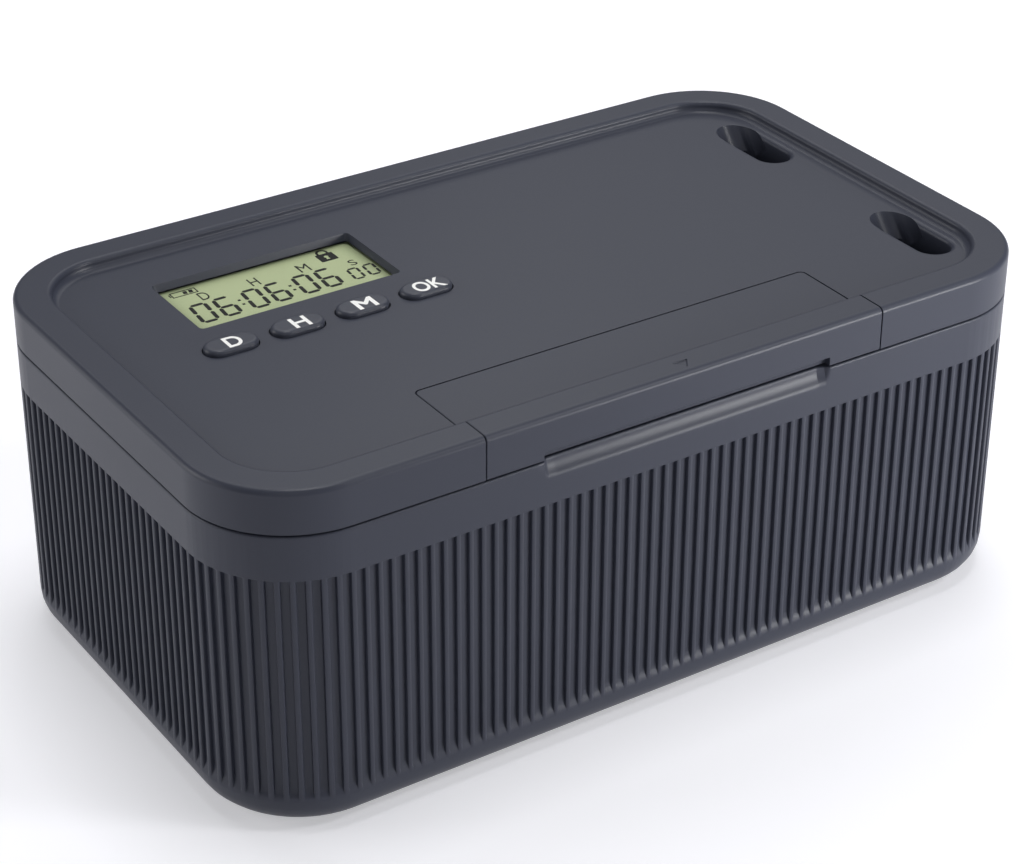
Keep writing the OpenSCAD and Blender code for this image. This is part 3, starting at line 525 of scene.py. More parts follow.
def ribbed_recipe():
    group, tree, size = open_recipe("ribbed_shell", RIB_SIZES)
    profile = size["Geometry"]
    rows = tree.add("GeometryNodeAttributeDomainSize", {"component": "MESH"}, {0: profile})
    grooves = 2 * (size["Ribs long"] + size["Ribs short"]) + 4 * size["Ribs corner"]
    columns = (grooves * COLUMNS_PER_GROOVE + 1).math("ROUND")
    grid = tree.add("GeometryNodeMeshGrid", None,
                    {"Size X": 1.0, "Size Y": 1.0, "Vertices X": columns, "Vertices Y": rows})
    index = tree.add("GeometryNodeInputIndex")
    # the last column is the first one again, and closes the ring
    column = (index / rows).math("FLOOR") % (grooves * COLUMNS_PER_GROOVE)
    row_place = tree.add("GeometryNodeSampleIndex", {"data_type": "FLOAT_VECTOR", "domain": "POINT"},
                         {0: profile, 1: tree.add("GeometryNodeInputPosition"), 2: index % rows})
    inset, pull, height = tree.split(row_place)

    # which groove a column serves, and how far it stands from that groove's edge
    groove = (column / COLUMNS_PER_GROOVE).math("FLOOR")
    step = column % COLUMNS_PER_GROOVE - (COLUMNS_PER_GROOVE - 1) / 2
    rank = abs(step) - 1.5
    outer_share = (rank.at_least(0) / 2).math("POWER", 1.74)
    beyond = outer_share * size["Edge"] + rank.at_most(0) * WALL_DRAFT
    offset = step.math("SIGN") * (size["Groove width"] / 2 + beyond)

    # walk along the eight stretches of the outline
    straight_l = size["Length"] - 2 * size["Corner"]
    straight_w = size["Width"] - 2 * size["Corner"]
    bend = size["Corner"] * (math.pi / 2)
    stretches = [(straight_l, size["Ribs long"]), (bend, size["Ribs corner"]),
                 (straight_w, size["Ribs short"]), (bend, size["Ribs corner"])] * 2
    walked, counted = offset, 0.0
    for run, count in stretches:
        walked = tree.clamp(groove + 0.5 - counted, count) * run / count + walked
        counted = count + counted
    along, begun = [], 0.0
    for run, _ in stretches:
        along.append(tree.clamp(walked - begun, run))
        begun = run + begun
    turned = (along[1] + along[3] + along[5] + along[7]) / size["Corner"] - math.pi / 2
    corner_x = along[0] - along[4] - straight_l / 2
    corner_y = along[2] - along[6] - straight_w / 2

    # the groove's depth at this height, rounded at its sides and at its top end
    below = (size["Fade start"] - height).at_least(0)
    fall = (size["Fade radius"] * size["Fade radius"] - below * below).at_least(0)
    depth = size["Groove depth"] - size["Fade radius"] + fall.root()
    depth = depth.at_most(rounded(beyond, size["Edge"]))
    depth = depth.at_most(rounded(height - size["Rib top"], size["Edge"]))

    # the scoop under the lid's front edge, a cylinder laid along the seam whose
    # ends are round and whose lip runs softly into the face
    drop = size["Scoop top"] - height
    reach = abs(corner_x - size["Scoop middle"]) - size["Scoop length"] / 2 + SCOOP_END
    narrowing = reach.at_least(0) * 2
    hollow = (size["Scoop radius"] * size["Scoop radius"] - drop * drop
              - narrowing * narrowing).at_least(0)
    scoop = hollow.root() - size["Scoop radius"] + size["Scoop depth"]
    scoop = (scoop + (scoop * scoop + LIP_ROUND * LIP_ROUND).root()) / 2 - LIP_TAIL
    depth = depth.at_least(scoop * (turned < FRONT_TURN)).at_least(0) * (inset < OUTSIDE)

    radius = size["Corner"] - inset - depth
    keep = 1 - pull
    place = tree.join((corner_x + radius * turned.math("COSINE")) * keep,
                      (corner_y + radius * turned.math("SINE")) * keep, height)
    moved = tree.add("GeometryNodeSetPosition", None, {"Geometry": grid, "Position": place})
    close_recipe(tree, size, tree.add("GeometryNodeMergeByDistance", None,
                                      {"Geometry": moved, "Distance": MERGE}))
    return group


ribbed = ribbed_recipe()
print("ribbed shell:", len(ribbed.nodes), "nodes")

# %% [markdown]
# The recipe's rows come from a drawn section of the wall: from the middle of
# the floor out, up the inside, over the rounded top edge, down the outside and
# back to the middle underneath. Rows stand close where the surface bends.


# %% The section of the tub's wall
def arc(middle_in, middle_up, radius, start, end, steps):
    """Points of a section on an arc, between two angles in degrees."""
    turns = [math.radians(start + (end - start) * i / steps) for i in range(steps + 1)]
    return [(middle_in + radius * math.cos(t), middle_up + radius * math.sin(t)) for t in turns]


def levels(start, end, steps):
    """Heights in even steps, on the outer face."""
    return [(0, start + (end - start) * i / steps) for i in range(steps + 1)]


# sizes of the tub in mm
TUB_TOP = 80.45
TUB_BOTTOM = 0.8
TUB_FLOOR = 3.8
TUB_WALL = 3.2
FLOOR_ROUND = 6
BOTTOM_ROUND = 8
INNER_EDGE = 0.3
OUTER_EDGE = 0.45
RIB_TOP = 68.8
RIB_EDGE = 0.5
SCOOP_FOOT = 75.2
FADE_START = 13.5
FADE_END = 9.2
CORE_INSET = 14


def tub_section():
    """The tub's wall in section, in mm: inset from the outline, and height."""
    inside = arc(TUB_WALL + FLOOR_ROUND, TUB_FLOOR + FLOOR_ROUND, FLOOR_ROUND, -90, -180, 4)
    top = (arc(TUB_WALL - INNER_EDGE, TUB_TOP - INNER_EDGE, INNER_EDGE, 0, 90, 2)
           + arc(OUTER_EDGE, TUB_TOP - OUTER_EDGE, OUTER_EDGE, 90, 180, 3))
    band = levels(TUB_TOP - 2 * OUTER_EDGE, SCOOP_FOOT, 10)
    rib_end = [(0, RIB_TOP + rise) for rise in (RIB_EDGE, 0.3 * RIB_EDGE, 0, -0.03)]
    fade = levels(FADE_START, FADE_END, 6)
    bottom = arc(BOTTOM_ROUND, TUB_BOTTOM + BOTTOM_ROUND, BOTTOM_ROUND, 180, 270, 7)
    return ([(CORE_INSET, TUB_FLOOR)] + inside + top + band + rib_end + fade + bottom
            + [(CORE_INSET, TUB_BOTTOM)])


print("the section has", len(tub_section()), "points")


# %% The tub
def section_mesh(name, section):
    """A section as a chain of points for the recipe, closed towards the middle at both ends."""
    points = [(inset * MM, 0, height * MM) for inset, height in section]
    first, last = points[0], points[-1]
    points = [(first[0], 1, first[2])] + points + [(last[0], 1, last[2])]
    return mesh_of(name, points, [(i, i + 1) for i in range(len(points) - 1)])


def outward(piece):
    """Turns every face of a closed piece outwards."""
    shape = bmesh.new()
    shape.from_mesh(piece.data)
    bmesh.ops.recalc_face_normals(shape, faces=shape.faces)
    shape.to_mesh(piece.data)
    shape.free()


BOX_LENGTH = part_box("lid_shell")[1].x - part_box("lid_shell")[0].x
BOX_WIDTH = 136 * MM
BOX_MIDDLE_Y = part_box("battery_cover")[0].y + BOX_WIDTH / 2
COVER_X = (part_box("battery_cover")[0].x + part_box("battery_cover")[1].x) / 2

tub = run_recipe("tub_ribbed", ribbed, section_mesh("tub_section", tub_section()), {
    "Length": BOX_LENGTH, "Width": BOX_WIDTH, "Corner": 27 * MM,
    "Ribs long": 52.0, "Ribs short": 24.0, "Ribs corner": 12.0,
    "Groove width": 2 * MM, "Groove depth": 1 * MM, "Edge": RIB_EDGE * MM,
    "Rib top": RIB_TOP * MM, "Fade start": FADE_START * MM, "Fade radius": 8 * MM,
    "Scoop middle": COVER_X, "Scoop length": 82 * MM,
    "Scoop depth": 1.6 * MM, "Scoop radius": 5.8 * MM, "Scoop top": TUB_TOP * MM,
    "Material": tub_plastic})
tub.data.transform(Matrix.Translation((0, BOX_MIDDLE_Y, 0)))
outward(tub)
shade(tub)
weigh_normals(tub)
finish_piece(tub, "box", "tub_plastic", "tub")

# %% [markdown]
# What the rule leaves out, the hinge's knuckles behind the tub and the posts
# for the keeper plate inside it, is already exact in the CAD tub. A copy of
# that mesh is merged, cut off by planes and capped, which keeps the true shape
# and needs no sizes of its own.


# %% Pieces cut out of a CAD node
CLEAR = 0.02 * MM  # a cut this far in front of a face leaves nothing of the face
MARGIN = 0.2 * MM  # a cut this far round the plate keeps its posts whole


def merged_copy(node):
    """A bmesh of a CAD node, its loose triangles merged."""
    shape = bmesh.new()
    shape.from_mesh(frame["nodes"][node].data)
    bmesh.ops.remove_doubles(shape, verts=shape.verts, dist=MERGE)
    return shape


def cut_out(name, node, planes, material):
    """What is left of a CAD node in front of every plane, given as point and direction."""
    shape = merged_copy(node)
    for point, direction in planes:
        everything = shape.verts[:] + shape.edges[:] + shape.faces[:]
        bmesh.ops.bisect_plane(shape, geom=everything, plane_co=point, plane_no=direction,
                               dist=1e-7, clear_inner=True)
        rim = [edge for edge in shape.edges if edge.is_boundary]
        bmesh.ops.holes_fill(shape, edges=rim)
    mesh = bpy.data.meshes.new(name)
    shape.to_mesh(mesh)
    shape.free()
    return shade(new_object(name, mesh), material)


rear_face = BOX_MIDDLE_Y + BOX_WIDTH / 2
knuckles = cut_out("tub_knuckles", "tub", [((0, rear_face + CLEAR, 0), (0, 1, 0))], tub_plastic)
finish_piece(knuckles, "box", "tub_plastic")

plate_low, plate_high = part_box("keeper_plate")
inner_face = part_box("battery_cover")[0].y + TUB_WALL * MM
posts = cut_out("keeper_posts", "tub", [
    ((0, inner_face + CLEAR, 0), (0, 1, 0)),
    ((0, plate_low.y + MARGIN, 0), (0, -1, 0)),
    ((0, 0, plate_low.z - MARGIN), (0, 0, 1)),
    ((plate_low.x - MARGIN, 0, 0), (1, 0, 0)),
    ((plate_high.x + MARGIN, 0, 0), (-1, 0, 0))], tub_plastic)
finish_piece(posts, "box", "tub_plastic")

# %% [markdown]
# ## Lid, battery cover and inner shells
#
# These shells have the right form already, but every CAD edge is a knife edge.
# A moulded edge never is: it has a radius of a few tenths of a millimetre, and
# that radius is what glints. Each shell is a merged copy of its node, with a
# Bevel modifier that rounds only the edges sharper than an angle, and with
# normals weighed by face area, so that the flat parts stay flat.


# %% Shells with rounded edges
FLAT_ANGLE = math.radians(0.3)  # faces that meet at less are one flat face
SHARP_ANGLE = math.radians(30)  # edges sharper than this are rounded


def softened(node, width, body, slot, material):
    """A copy of a CAD node whose sharp edges are rounded by a width in mm."""
    shape = merged_copy(node)
    bmesh.ops.dissolve_limit(shape, angle_limit=FLAT_ANGLE, verts=shape.verts, edges=shape.edges)
    mesh = bpy.data.meshes.new(node + "_finished")
    shape.to_mesh(mesh)
    shape.free()
    piece = new_object(node + "_finished", mesh)
    bevel = piece.modifiers.new("edges", "BEVEL")
    bevel.limit_method = "ANGLE"
    bevel.angle_limit = SHARP_ANGLE
    bevel.width = width * MM
    bevel.segments = 2
    bevel.miter_outer = "MITER_ARC"
    shade(piece, material, 40)
    weigh_normals(piece)
    finish_piece(piece, body, slot, node)


softened("lid_shell", 0.22, "lid", "lid_plastic", lid_plastic)
softened("battery_cover", 0.22, "battery_cover", "lid_plastic", lid_plastic)
softened("inner_cover", 0.25, "lid", "inner_plastic", inner_plastic)
softened("lock_housing", 0.25, "lid", "inner_plastic", inner_plastic)
print("shells finished")

# %% [markdown]
# ## Flat marks
#
# Ink lies on a surface as a thin skin. Each mark starts flat, as type from
# Blender's own typeface or as a drawn outline, is scaled to its measured size,
# and grows into a closed mesh 0.03 mm high.


# %% Type, outlines and ink
INK_HEIGHT = 0.03
TINY = 0.0005 * MM  # points of a mark that are closer together are one point


def typed(name, words, bold=0.0):
    """Words as a flat mesh; bold makes the strokes wider."""
    curve = bpy.data.curves.new(name, "FONT")
    curve.body = words
    curve.resolution_u = 6
    curve.offset = bold
    return baked(name, new_object(name + "_maker", curve))


def outline_of(name, points_list):
    """A flat mesh inside closed outlines; an outline inside another leaves a hole."""
    curve = bpy.data.curves.new(name, "CURVE")
    curve.dimensions = "2D"
    curve.fill_mode = "BOTH"
    for points in points_list:
        spline = curve.splines.new("POLY")
        spline.points.add(len(points) - 1)
        for target, (x, y) in zip(spline.points, points):
            target.co = (x, y, 0, 1)
        spline.use_cyclic_u = True
    return baked(name, new_object(name + "_maker", curve))


def fitted(name, mesh, centre, height, width):
    """An object from a flat mesh, scaled to a height and width in mm about a centre."""
    xs = [vertex.co.x for vertex in mesh.vertices]
    ys = [vertex.co.y for vertex in mesh.vertices]
    scale = (width * MM / (max(xs) - min(xs)), height * MM / (max(ys) - min(ys)), 1, 1)
    middle = Vector(((max(xs) + min(xs)) / 2, (max(ys) + min(ys)) / 2, 0))
    mesh.transform(Matrix.Translation(centre) @ Matrix.Diagonal(scale) @ Matrix.Translation(-middle))
    return new_object(name, mesh)


def finish_mark(piece, body, slot, ink=None):
    """Grows a flat mark to the height of ink and finishes it."""
    shape = bmesh.new()
    shape.from_mesh(piece.data)
    bmesh.ops.remove_doubles(shape, verts=shape.verts, dist=TINY)
    grown = bmesh.ops.extrude_face_region(shape, geom=shape.faces[:])["geom"]
    raised = [part for part in grown if isinstance(part, bmesh.types.BMVert)]
    bmesh.ops.translate(shape, verts=raised, vec=(0, 0, INK_HEIGHT * MM))
    bmesh.ops.recalc_face_normals(shape, faces=shape.faces)
    shape.to_mesh(piece.data)
    shape.free()
    shade(piece, ink)
    finish_piece(piece, body, slot)


print("helpers for marks ready")

# %% [markdown]
# ## What the buttons say
#
# The legends are printed in white on the four pill-shaped buttons: days, hours,
# minutes and confirm. Each is real type that rides with its button. Only the M
# is drawn, because the typeface fills in its narrow angles when it is made
# bolder.

# %% Legends on the buttons
BOLD_M = [(0, 0), (14, 0), (14, 46), (31, 23), (37, 23), (54, 46), (54, 0), (68, 0),
          (68, 72), (56, 72), (34, 44), (12, 72), (0, 72)]
# the words of each legend and their width in mm
LEGENDS = {"button_day": ("D", 4.25), "button_hour": ("H", 4.4),
           "button_minute": ("M", 5.4), "button_ok": ("OK", 8.3)}
LEGEND_HEIGHT = 5.1
LEGEND_BOLD = 0.02
LEGEND_SHIFT = (0.5 * MM, -0.3 * MM)
LEGEND_SINK = 0.01 * MM
for button, (words, width) in LEGENDS.items():
    low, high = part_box(button)
    centre = ((low.x + high.x) / 2 + LEGEND_SHIFT[0], (low.y + high.y) / 2 + LEGEND_SHIFT[1],
              high.z - LEGEND_SINK)
    name = "legend_" + button
    flat = outline_of(name, [BOLD_M]) if words == "M" else typed(name, words, LEGEND_BOLD)
    finish_mark(fitted(name, flat, centre, LEGEND_HEIGHT, width), button, "button_plastic", legend_ink)

# %% [markdown]
# ## The display's marks
#
# Every mark that a segment display can show is a bar. A bar is one stroke: where
# it starts and where it ends. So the input of the next recipe is a mesh of bare
# edges, one for each bar. It takes each edge's ends, puts a six-cornered
# template on its middle, and stretches the corners along the stroke, which
# leaves the pointed ends as blunt as the stroke is wide. The digits lean by a
# few degrees, as such digits do.

# %% The recipe for bars on strokes
def bar_recipe():
    group, tree, size = open_recipe("display_bars", ("Stroke", "Gap", "Point"))
    # the template: a hexagon whose corners say which end and which side they belong to
    hexagon = tree.add("GeometryNodeMeshCircle", {"fill_type": "NGON"}, {"Vertices": 6, "Radius": 1.0})
    kept = {}

    def keep(geometry, name, value, domain):
        """Stores a value on a geometry and remembers how to read it back."""
        stored = tree.add("GeometryNodeStoreNamedAttribute",
                          {"data_type": "FLOAT_VECTOR", "domain": domain},
                          {"Geometry": geometry, "Name": name, "Value": value})
        kept[name] = tree.add("GeometryNodeInputNamedAttribute", {"data_type": "FLOAT_VECTOR"},
                              {"Name": name})
        return stored

    template = keep(hexagon, "corner", tree.add("GeometryNodeInputPosition"), "POINT")
    ends = [tree.add("GeometryNodeInputMeshEdgeVertices", out=2),
            tree.add("GeometryNodeInputMeshEdgeVertices", out=3)]
    strokes = keep(size["Geometry"], "stroke_start", ends[0], "EDGE")
    strokes = keep(strokes, "stroke_end", ends[1], "EDGE")
    points = tree.add("GeometryNodeMeshToPoints", {"mode": "EDGES"}, {"Mesh": strokes})
    placed = tree.add("GeometryNodeInstanceOnPoints", None, {"Points": points, "Instance": template})
    real = tree.add("GeometryNodeRealizeInstances", None, {"Geometry": placed})

    corner_x, corner_y, _ = tree.split(kept["corner"])
    start_x, start_y, start_z = tree.split(kept["stroke_start"])
    end_x, end_y, _ = tree.split(kept["stroke_end"])
    run_x, run_y = end_x - start_x, end_y - start_y
    length = (run_x * run_x + run_y * run_y).root()
    side = corner_y.math("SIGN") * (abs(corner_y) > 0.1)
    reach = length / 2 - size["Gap"] / 2 - abs(side) * size["Point"]
    along = corner_x.math("SIGN") * reach / length
    across = side * size["Stroke"] / 2 / length
    place = tree.join((start_x + end_x) / 2 + run_x * along - run_y * across,
                      (start_y + end_y) / 2 + run_y * along + run_x * across, start_z)
    close_recipe(tree, size, tree.add("GeometryNodeSetPosition", None,
                                      {"Geometry": real, "Position": place}))
    return group


bars = bar_recipe()
print("bars:", len(bars.nodes), "nodes")

# %% [markdown]
# A digit is a choice from seven strokes. The display shows days, hours and
# minutes as big pairs with dots between them, and the seconds as a small pair.
# Above them stand their letters, a battery with two of its cells left, and a
# closed padlock.

# %% How a digit is drawn
# strokes of a digit in its own square, one wide and two high
STROKES = {"top": ((0, 2), (1, 2)), "upper_left": ((0, 1), (0, 2)), "upper_right": ((1, 1), (1, 2)),
           "middle": ((0, 1), (1, 1)), "lower_left": ((0, 0), (0, 1)), "lower_right": ((1, 0), (1, 1)),
           "bottom": ((0, 0), (1, 0))}
LIT = {"0": ("top", "upper_left", "upper_right", "lower_left", "lower_right", "bottom"),
       "6": ("top", "upper_left", "middle", "lower_left", "lower_right", "bottom")}
LEAN = 0.087  # how far a digit leans over for each mm of its height
panel_low, panel_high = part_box("display_panel")


def panel_place(x, y):
    """The point that lies x and y mm from the left front corner of the display's top."""
    return Vector((panel_low.x / MM + x, panel_low.y / MM + y, panel_high.z / MM)) * MM


def digit_strokes(digit, x, y, width, height):
    """Strokes between the middles of the bars, for a digit whose outer left foot stands at x, y."""
    strokes = []
    for name in LIT[digit]:
        ends = []
        for across, up in STROKES[name]:
            rise = up * height / 2
            ends.append((x + across * width + rise * LEAN, y + rise))
        strokes.append(ends)
    return strokes


def bar_piece(name, strokes, stroke, gap=0, point=0):
    """Bars on a list of strokes on the display; all sizes in mm."""
    vertices = [panel_place(*end) for ends in strokes for end in ends]
    edges = [(2 * i, 2 * i + 1) for i in range(len(strokes))]
    piece = run_recipe(name, bars, mesh_of(name + "_strokes", vertices, edges), {
        "Stroke": stroke * MM, "Gap": gap * MM, "Point": point * MM, "Material": segment_ink})
    finish_mark(piece, "lid", "display_glass")


print("digits have", len(STROKES), "strokes")

# %% Digits, dots and battery
DIGIT_FOOT = 7.35
PAIR_X = (4.6, 18.85, 33.1)
PAIR_STEP = 6.35
BIG = (3.95, 9.25)
big_strokes = [stroke for x in PAIR_X for i, digit in enumerate("06")
               for stroke in digit_strokes(digit, x + i * PAIR_STEP, DIGIT_FOOT, *BIG)]
bar_piece("digits_large", big_strokes, stroke=1.05, gap=0.36, point=0.46)

SECONDS_X = 47.25
SECONDS_STEP = 4.5
SMALL = (2.65, 5.6)
small_strokes = [stroke for i, digit in enumerate("00")
                 for stroke in digit_strokes(digit, SECONDS_X + i * SECONDS_STEP, DIGIT_FOOT + 0.1, *SMALL)]
bar_piece("digits_small", small_strokes, stroke=0.7, gap=0.3, point=0.3)

DOT = 0.75
DOTS_X = (17.3, 31.55)
DOTS_Y = (10.75, 13.15)
dots = [((x - DOT / 2, y), (x + DOT / 2, y)) for x in DOTS_X for y in DOTS_Y]
bar_piece("display_dots", dots, stroke=DOT)

# the battery's case with its contact, and the two bars that are left in it
LEFT, RIGHT = 4.35, 11
FOOT, HEAD = 22.85, 25.25
BELLY = (FOOT + HEAD) / 2
outline = [((LEFT, FOOT), (RIGHT, FOOT)), ((RIGHT, FOOT), (RIGHT, HEAD)), ((RIGHT, HEAD), (LEFT, HEAD)),
           ((LEFT, HEAD), (LEFT, FOOT)), ((LEFT - 0.5, BELLY - 0.6), (LEFT - 0.5, BELLY + 0.6))]
bar_piece("battery_outline", outline, stroke=0.34, gap=-0.3)
cells = [((x, FOOT + 0.45), (x + 0.25, HEAD - 0.45)) for x in (7.9, 9.45)]
bar_piece("battery_cells", cells, stroke=1.05)


# %% Letters and padlock
# letter, middle on the display, height and width in mm
LETTERS = {"days": ("D", (11.1, 19.95), 4.1, 2.5), "hours": ("H", (25.05, 19.95), 4.1, 2.4),
           "minutes": ("M", (39.15, 19.95), 4.1, 3.05), "seconds": ("S", (51.1, 15.95), 2.95, 2)}
PADLOCK_MIDDLE = (47.2, 22.1)
for unit, (letter, middle, height, width) in LETTERS.items():
    name = "display_" + unit
    mark = fitted(name, typed(name, letter), panel_place(*middle), height, width)
    finish_mark(mark, "lid", "display_glass", segment_ink)


def padlock():
    """A closed padlock about its own middle, in mm: a body with a keyhole and a shackle."""
    half_w, half_h, corner = 2.4, 2.1, 0.35
    body = []
    for sign_x, sign_y, start in ((1, -1, -90), (1, 1, 0), (-1, 1, 90), (-1, -1, 180)):
        body += arc(sign_x * (half_w - corner), sign_y * (half_h - corner), corner, start, start + 90, 4)
    keyhole = arc(0, 0.35, 0.62, -60, 240, 14) + [(-0.55, -1.15), (0.55, -1.15)]
    shackle = arc(0, 2.7, 1.65, 0, 180, 14) + [(-1.65, 2), (-1, 2)]
    shackle += arc(0, 2.7, 1, 180, 0, 10) + [(1, 2), (1.65, 2)]
    mesh = outline_of("padlock_body", [body, keyhole])
    shape = bmesh.new()
    shape.from_mesh(mesh)
    shape.from_mesh(outline_of("padlock_shackle", [shackle]))
    shape.to_mesh(mesh)
    shape.free()
    return mesh


lock_mesh = padlock()
lock_mesh.transform(Matrix.Translation(panel_place(*PADLOCK_MIDDLE)) @ Matrix.Scale(MM, 4))
finish_mark(new_object("display_padlock", lock_mesh), "lid", "display_glass", segment_ink)

# %% [markdown]
# ## Cells, turned on a lathe
#
# The two cells are turned profiles: a drawn steel can with a crimped rim at
# each end, a raised contact, and a printed sleeve. A short function turns the
# section about the x axis. The sleeve is plain, black with one metallic band
# at the contact end, with no printing on it.


# %% Cells
def sleeve_material():
    """A printed sleeve: black, with a copper-coloured end, and bare steel at both faces."""
    material, tree, shader = new_material("cell_sleeve")
    place = object_place(tree)
    x, _, _ = tree.split(place)
    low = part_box("battery_left")[0].x
    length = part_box("battery_left")[1].x - low
    share = ((x - low) % length) / length
    copper = share > 0.74
    bare = (share > 0.968).at_least(share < 0.006)
    sleeve = tree.mix_colour(copper, colour(34, 35, 38), colour(190, 128, 74))
    feed(tree, shader,
         Base_Color=tree.mix_colour(bare, sleeve, colour(205, 206, 208)),
         Metallic=copper.at_least(bare) * 0.9,
         Roughness=0.3 + noise(tree, place, 900) * 0.1)
    return material


TURNS = 64


def lathe(name, section, start):
    """Turns a section of (along, radius) in mm about the x axis through a start point."""
    vertices, faces = [], []
    count = len(section)
    for step in range(TURNS):
        turn = 2 * math.pi * step / TURNS
        for along, radius in section:
            vertices.append(start + Vector((along, radius * math.cos(turn), radius * math.sin(turn))) * MM)
        other = (step + 1) % TURNS
        faces += [(step * count + i, other * count + i, other * count + i + 1, step * count + i + 1)
                  for i in range(count - 1)]
    piece = new_object(name, mesh_of(name, vertices, faces=faces))
    shape = bmesh.new()
    shape.from_mesh(piece.data)
    bmesh.ops.remove_doubles(shape, verts=shape.verts, dist=0.001 * MM)
    shape.to_mesh(piece.data)
    shape.free()
    outward(piece)
    return piece


CELL_L = (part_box("battery_left")[1].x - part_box("battery_left")[0].x) / MM
CELL_R = (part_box("battery_left")[1].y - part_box("battery_left")[0].y) / MM / 2
CAN_L = CELL_L - 1.2
CRIMP = 0.7
SLEEVE_R = CELL_R - 0.12
cell_section = ([(0, 0), (0, 4.2), (0.25, 4.6), (0.25, CELL_R - 1)]
                + arc(CRIMP, CELL_R - CRIMP, CRIMP, 180, 90, 4)
                + [(1.6, CELL_R), (1.75, SLEEVE_R), (CAN_L - 1.9, SLEEVE_R), (CAN_L - 1.75, CELL_R)]
                + arc(CAN_L - CRIMP, CELL_R - CRIMP, CRIMP, 90, 0, 4)
                + [(CAN_L - 0.25, CELL_R - 1), (CAN_L - 0.25, 3.2), (CAN_L, 2.7)]
                + arc(CELL_L - 0.3, 2.4, 0.3, 90, 0, 3) + [(CELL_L, 0)])
sleeve = sleeve_material()
for cell in ("battery_left", "battery_right"):
    low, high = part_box(cell)
    start = Vector((low.x, (low.y + high.y) / 2, (low.z + high.z) / 2))
    piece = lathe(cell + "_turned", cell_section, start)
    shade(piece, sleeve)
    finish_piece(piece, "lid", "cell_sleeve", cell)

# %% [markdown]
# ## Screws, one recipe for all
#
# The screws that can be seen with the lid open are cross-head screws of one
# size. The recipe turns a point into a screw: a pan head from a cylinder and
# a slice of a sphere, a cross cut into it by a boolean, and a shank. The points
# are the places of the screws in their own CAD nodes, found as loose parts.


# %% The recipe for screws
SCREW_SIZES = ("Head radius", "Head height", "Shank radius", "Shank length")
# shares of the head's radius: the radius of its dome, and the two sides of a bar of the cross
DOME, CROSS_LONG, CROSS_WIDE = 1.6, 1.15, 0.26


def screw_recipe():
    """Screws along +Z before the turn, with the underside of the head at each point."""
    group, tree, size = open_recipe("pan_screws", SCREW_SIZES, turns=("Turn",))

    def moved_up(geometry, height):
        return tree.add("GeometryNodeTransform", None,
                        {"Geometry": geometry, "Translation": tree.join(z=height)})

    def rod(radius, length, middle, sides):
        made = tree.add("GeometryNodeMeshCylinder", None,
                        {"Vertices": sides, "Radius": radius, "Depth": length})
        return moved_up(made, middle)

    head_h, head_r = size["Head height"], size["Head radius"]
    ball = moved_up(tree.add("GeometryNodeMeshUVSphere", None,
                             {"Segments": 40, "Rings": 20, "Radius": head_r * DOME}),
                    head_r * DOME - head_h)
    head = tree.gather("GeometryNodeMeshBoolean", {"operation": "INTERSECT", "solver": "EXACT"},
                       "Mesh 2", [rod(head_r, head_h, head_h * -0.5, 40), ball])
    cross_bars = []
    for along_x, along_y in ((CROSS_LONG, CROSS_WIDE), (CROSS_WIDE, CROSS_LONG)):
        bar_size = tree.join(head_r * along_x, head_r * along_y, head_h)
        cross_bars.append(moved_up(tree.add("GeometryNodeMeshCube", None, {"Size": bar_size}), 0 - head_h))
    cross = tree.gather("GeometryNodeJoinGeometry", None, 0, cross_bars)
    cut = tree.add("GeometryNodeMeshBoolean", {"operation": "DIFFERENCE", "solver": "EXACT"},
                   {"Mesh 1": head, "Mesh 2": cross})
    shank_l = size["Shank length"]
    shank = rod(size["Shank radius"], shank_l, shank_l / 2, 20)
    both = tree.gather("GeometryNodeJoinGeometry", None, 0, [cut, shank])
    points = tree.add("GeometryNodeMeshToPoints", None, {"Mesh": size["Geometry"]})
    placed = tree.add("GeometryNodeInstanceOnPoints", None,
                      {"Points": points, "Instance": both, "Rotation": size["Turn"]})
    close_recipe(tree, size, tree.add("GeometryNodeRealizeInstances", None, {"Geometry": placed}))
    return group


screws = screw_recipe()
print("screws:", len(screws.nodes), "nodes")


# %% Screws in their places
def loose_boxes(node):
    """The lowest and highest corners of each loose part of a CAD node."""
    shape = merged_copy(node)
    seen, boxes = set(), []
    for vertex in shape.verts:
        if vertex in seen:
            continue
        seen.add(vertex)
        waiting, part = [vertex], []
        while waiting:
            one = waiting.pop()
            part.append(one.co.copy())
            for edge in one.link_edges:
                other = edge.other_vert(one)
                if other not in seen:
                    seen.add(other)
                    waiting.append(other)
        boxes.append([Vector([pick(co[i] for co in part) for i in range(3)]) for pick in (min, max)])
    shape.free()
    return boxes


HEAD_H = 1.5 * MM
SHANK_R = 1.1 * MM
# each node, the body that carries it, the axis that its screws follow, and the turn from +Z to it
SCREW_NODES = [("inner_cover_screws", "lid", 2, (0, 0, 0)), ("housing_screws", "lid", 2, (0, 0, 0)),
               ("keeper_screws", "box", 1, (math.radians(90), 0, 0))]
for node, body, axis, turn in SCREW_NODES:
    seats, lengths = [], []
    for low, high in loose_boxes(node):
        seat = (low + high) / 2
        if axis == 2:
            seat.z = low.z + HEAD_H
        else:
            seat.y = high.y - HEAD_H
        seats.append(seat)
        lengths.append(high[axis] - low[axis] - HEAD_H)
        head_r = (high.x - low.x) / 2
    piece = run_recipe(node + "_finished", screws, mesh_of(node + "_places", seats), {
        "Head radius": head_r, "Head height": HEAD_H, "Shank radius": SHANK_R,
        "Shank length": lengths[0], "Turn": turn, "Material": zinc_steel})
    outward(piece)
    shade(piece)
    finish_piece(piece, body, "zinc_steel", node)

# %% [markdown]
# ## Finishes for what stays as it is
#
# The small parts of the mechanism and the electronics are right as solids. Each
# takes the finish of its own material slot, in the same words as the record.

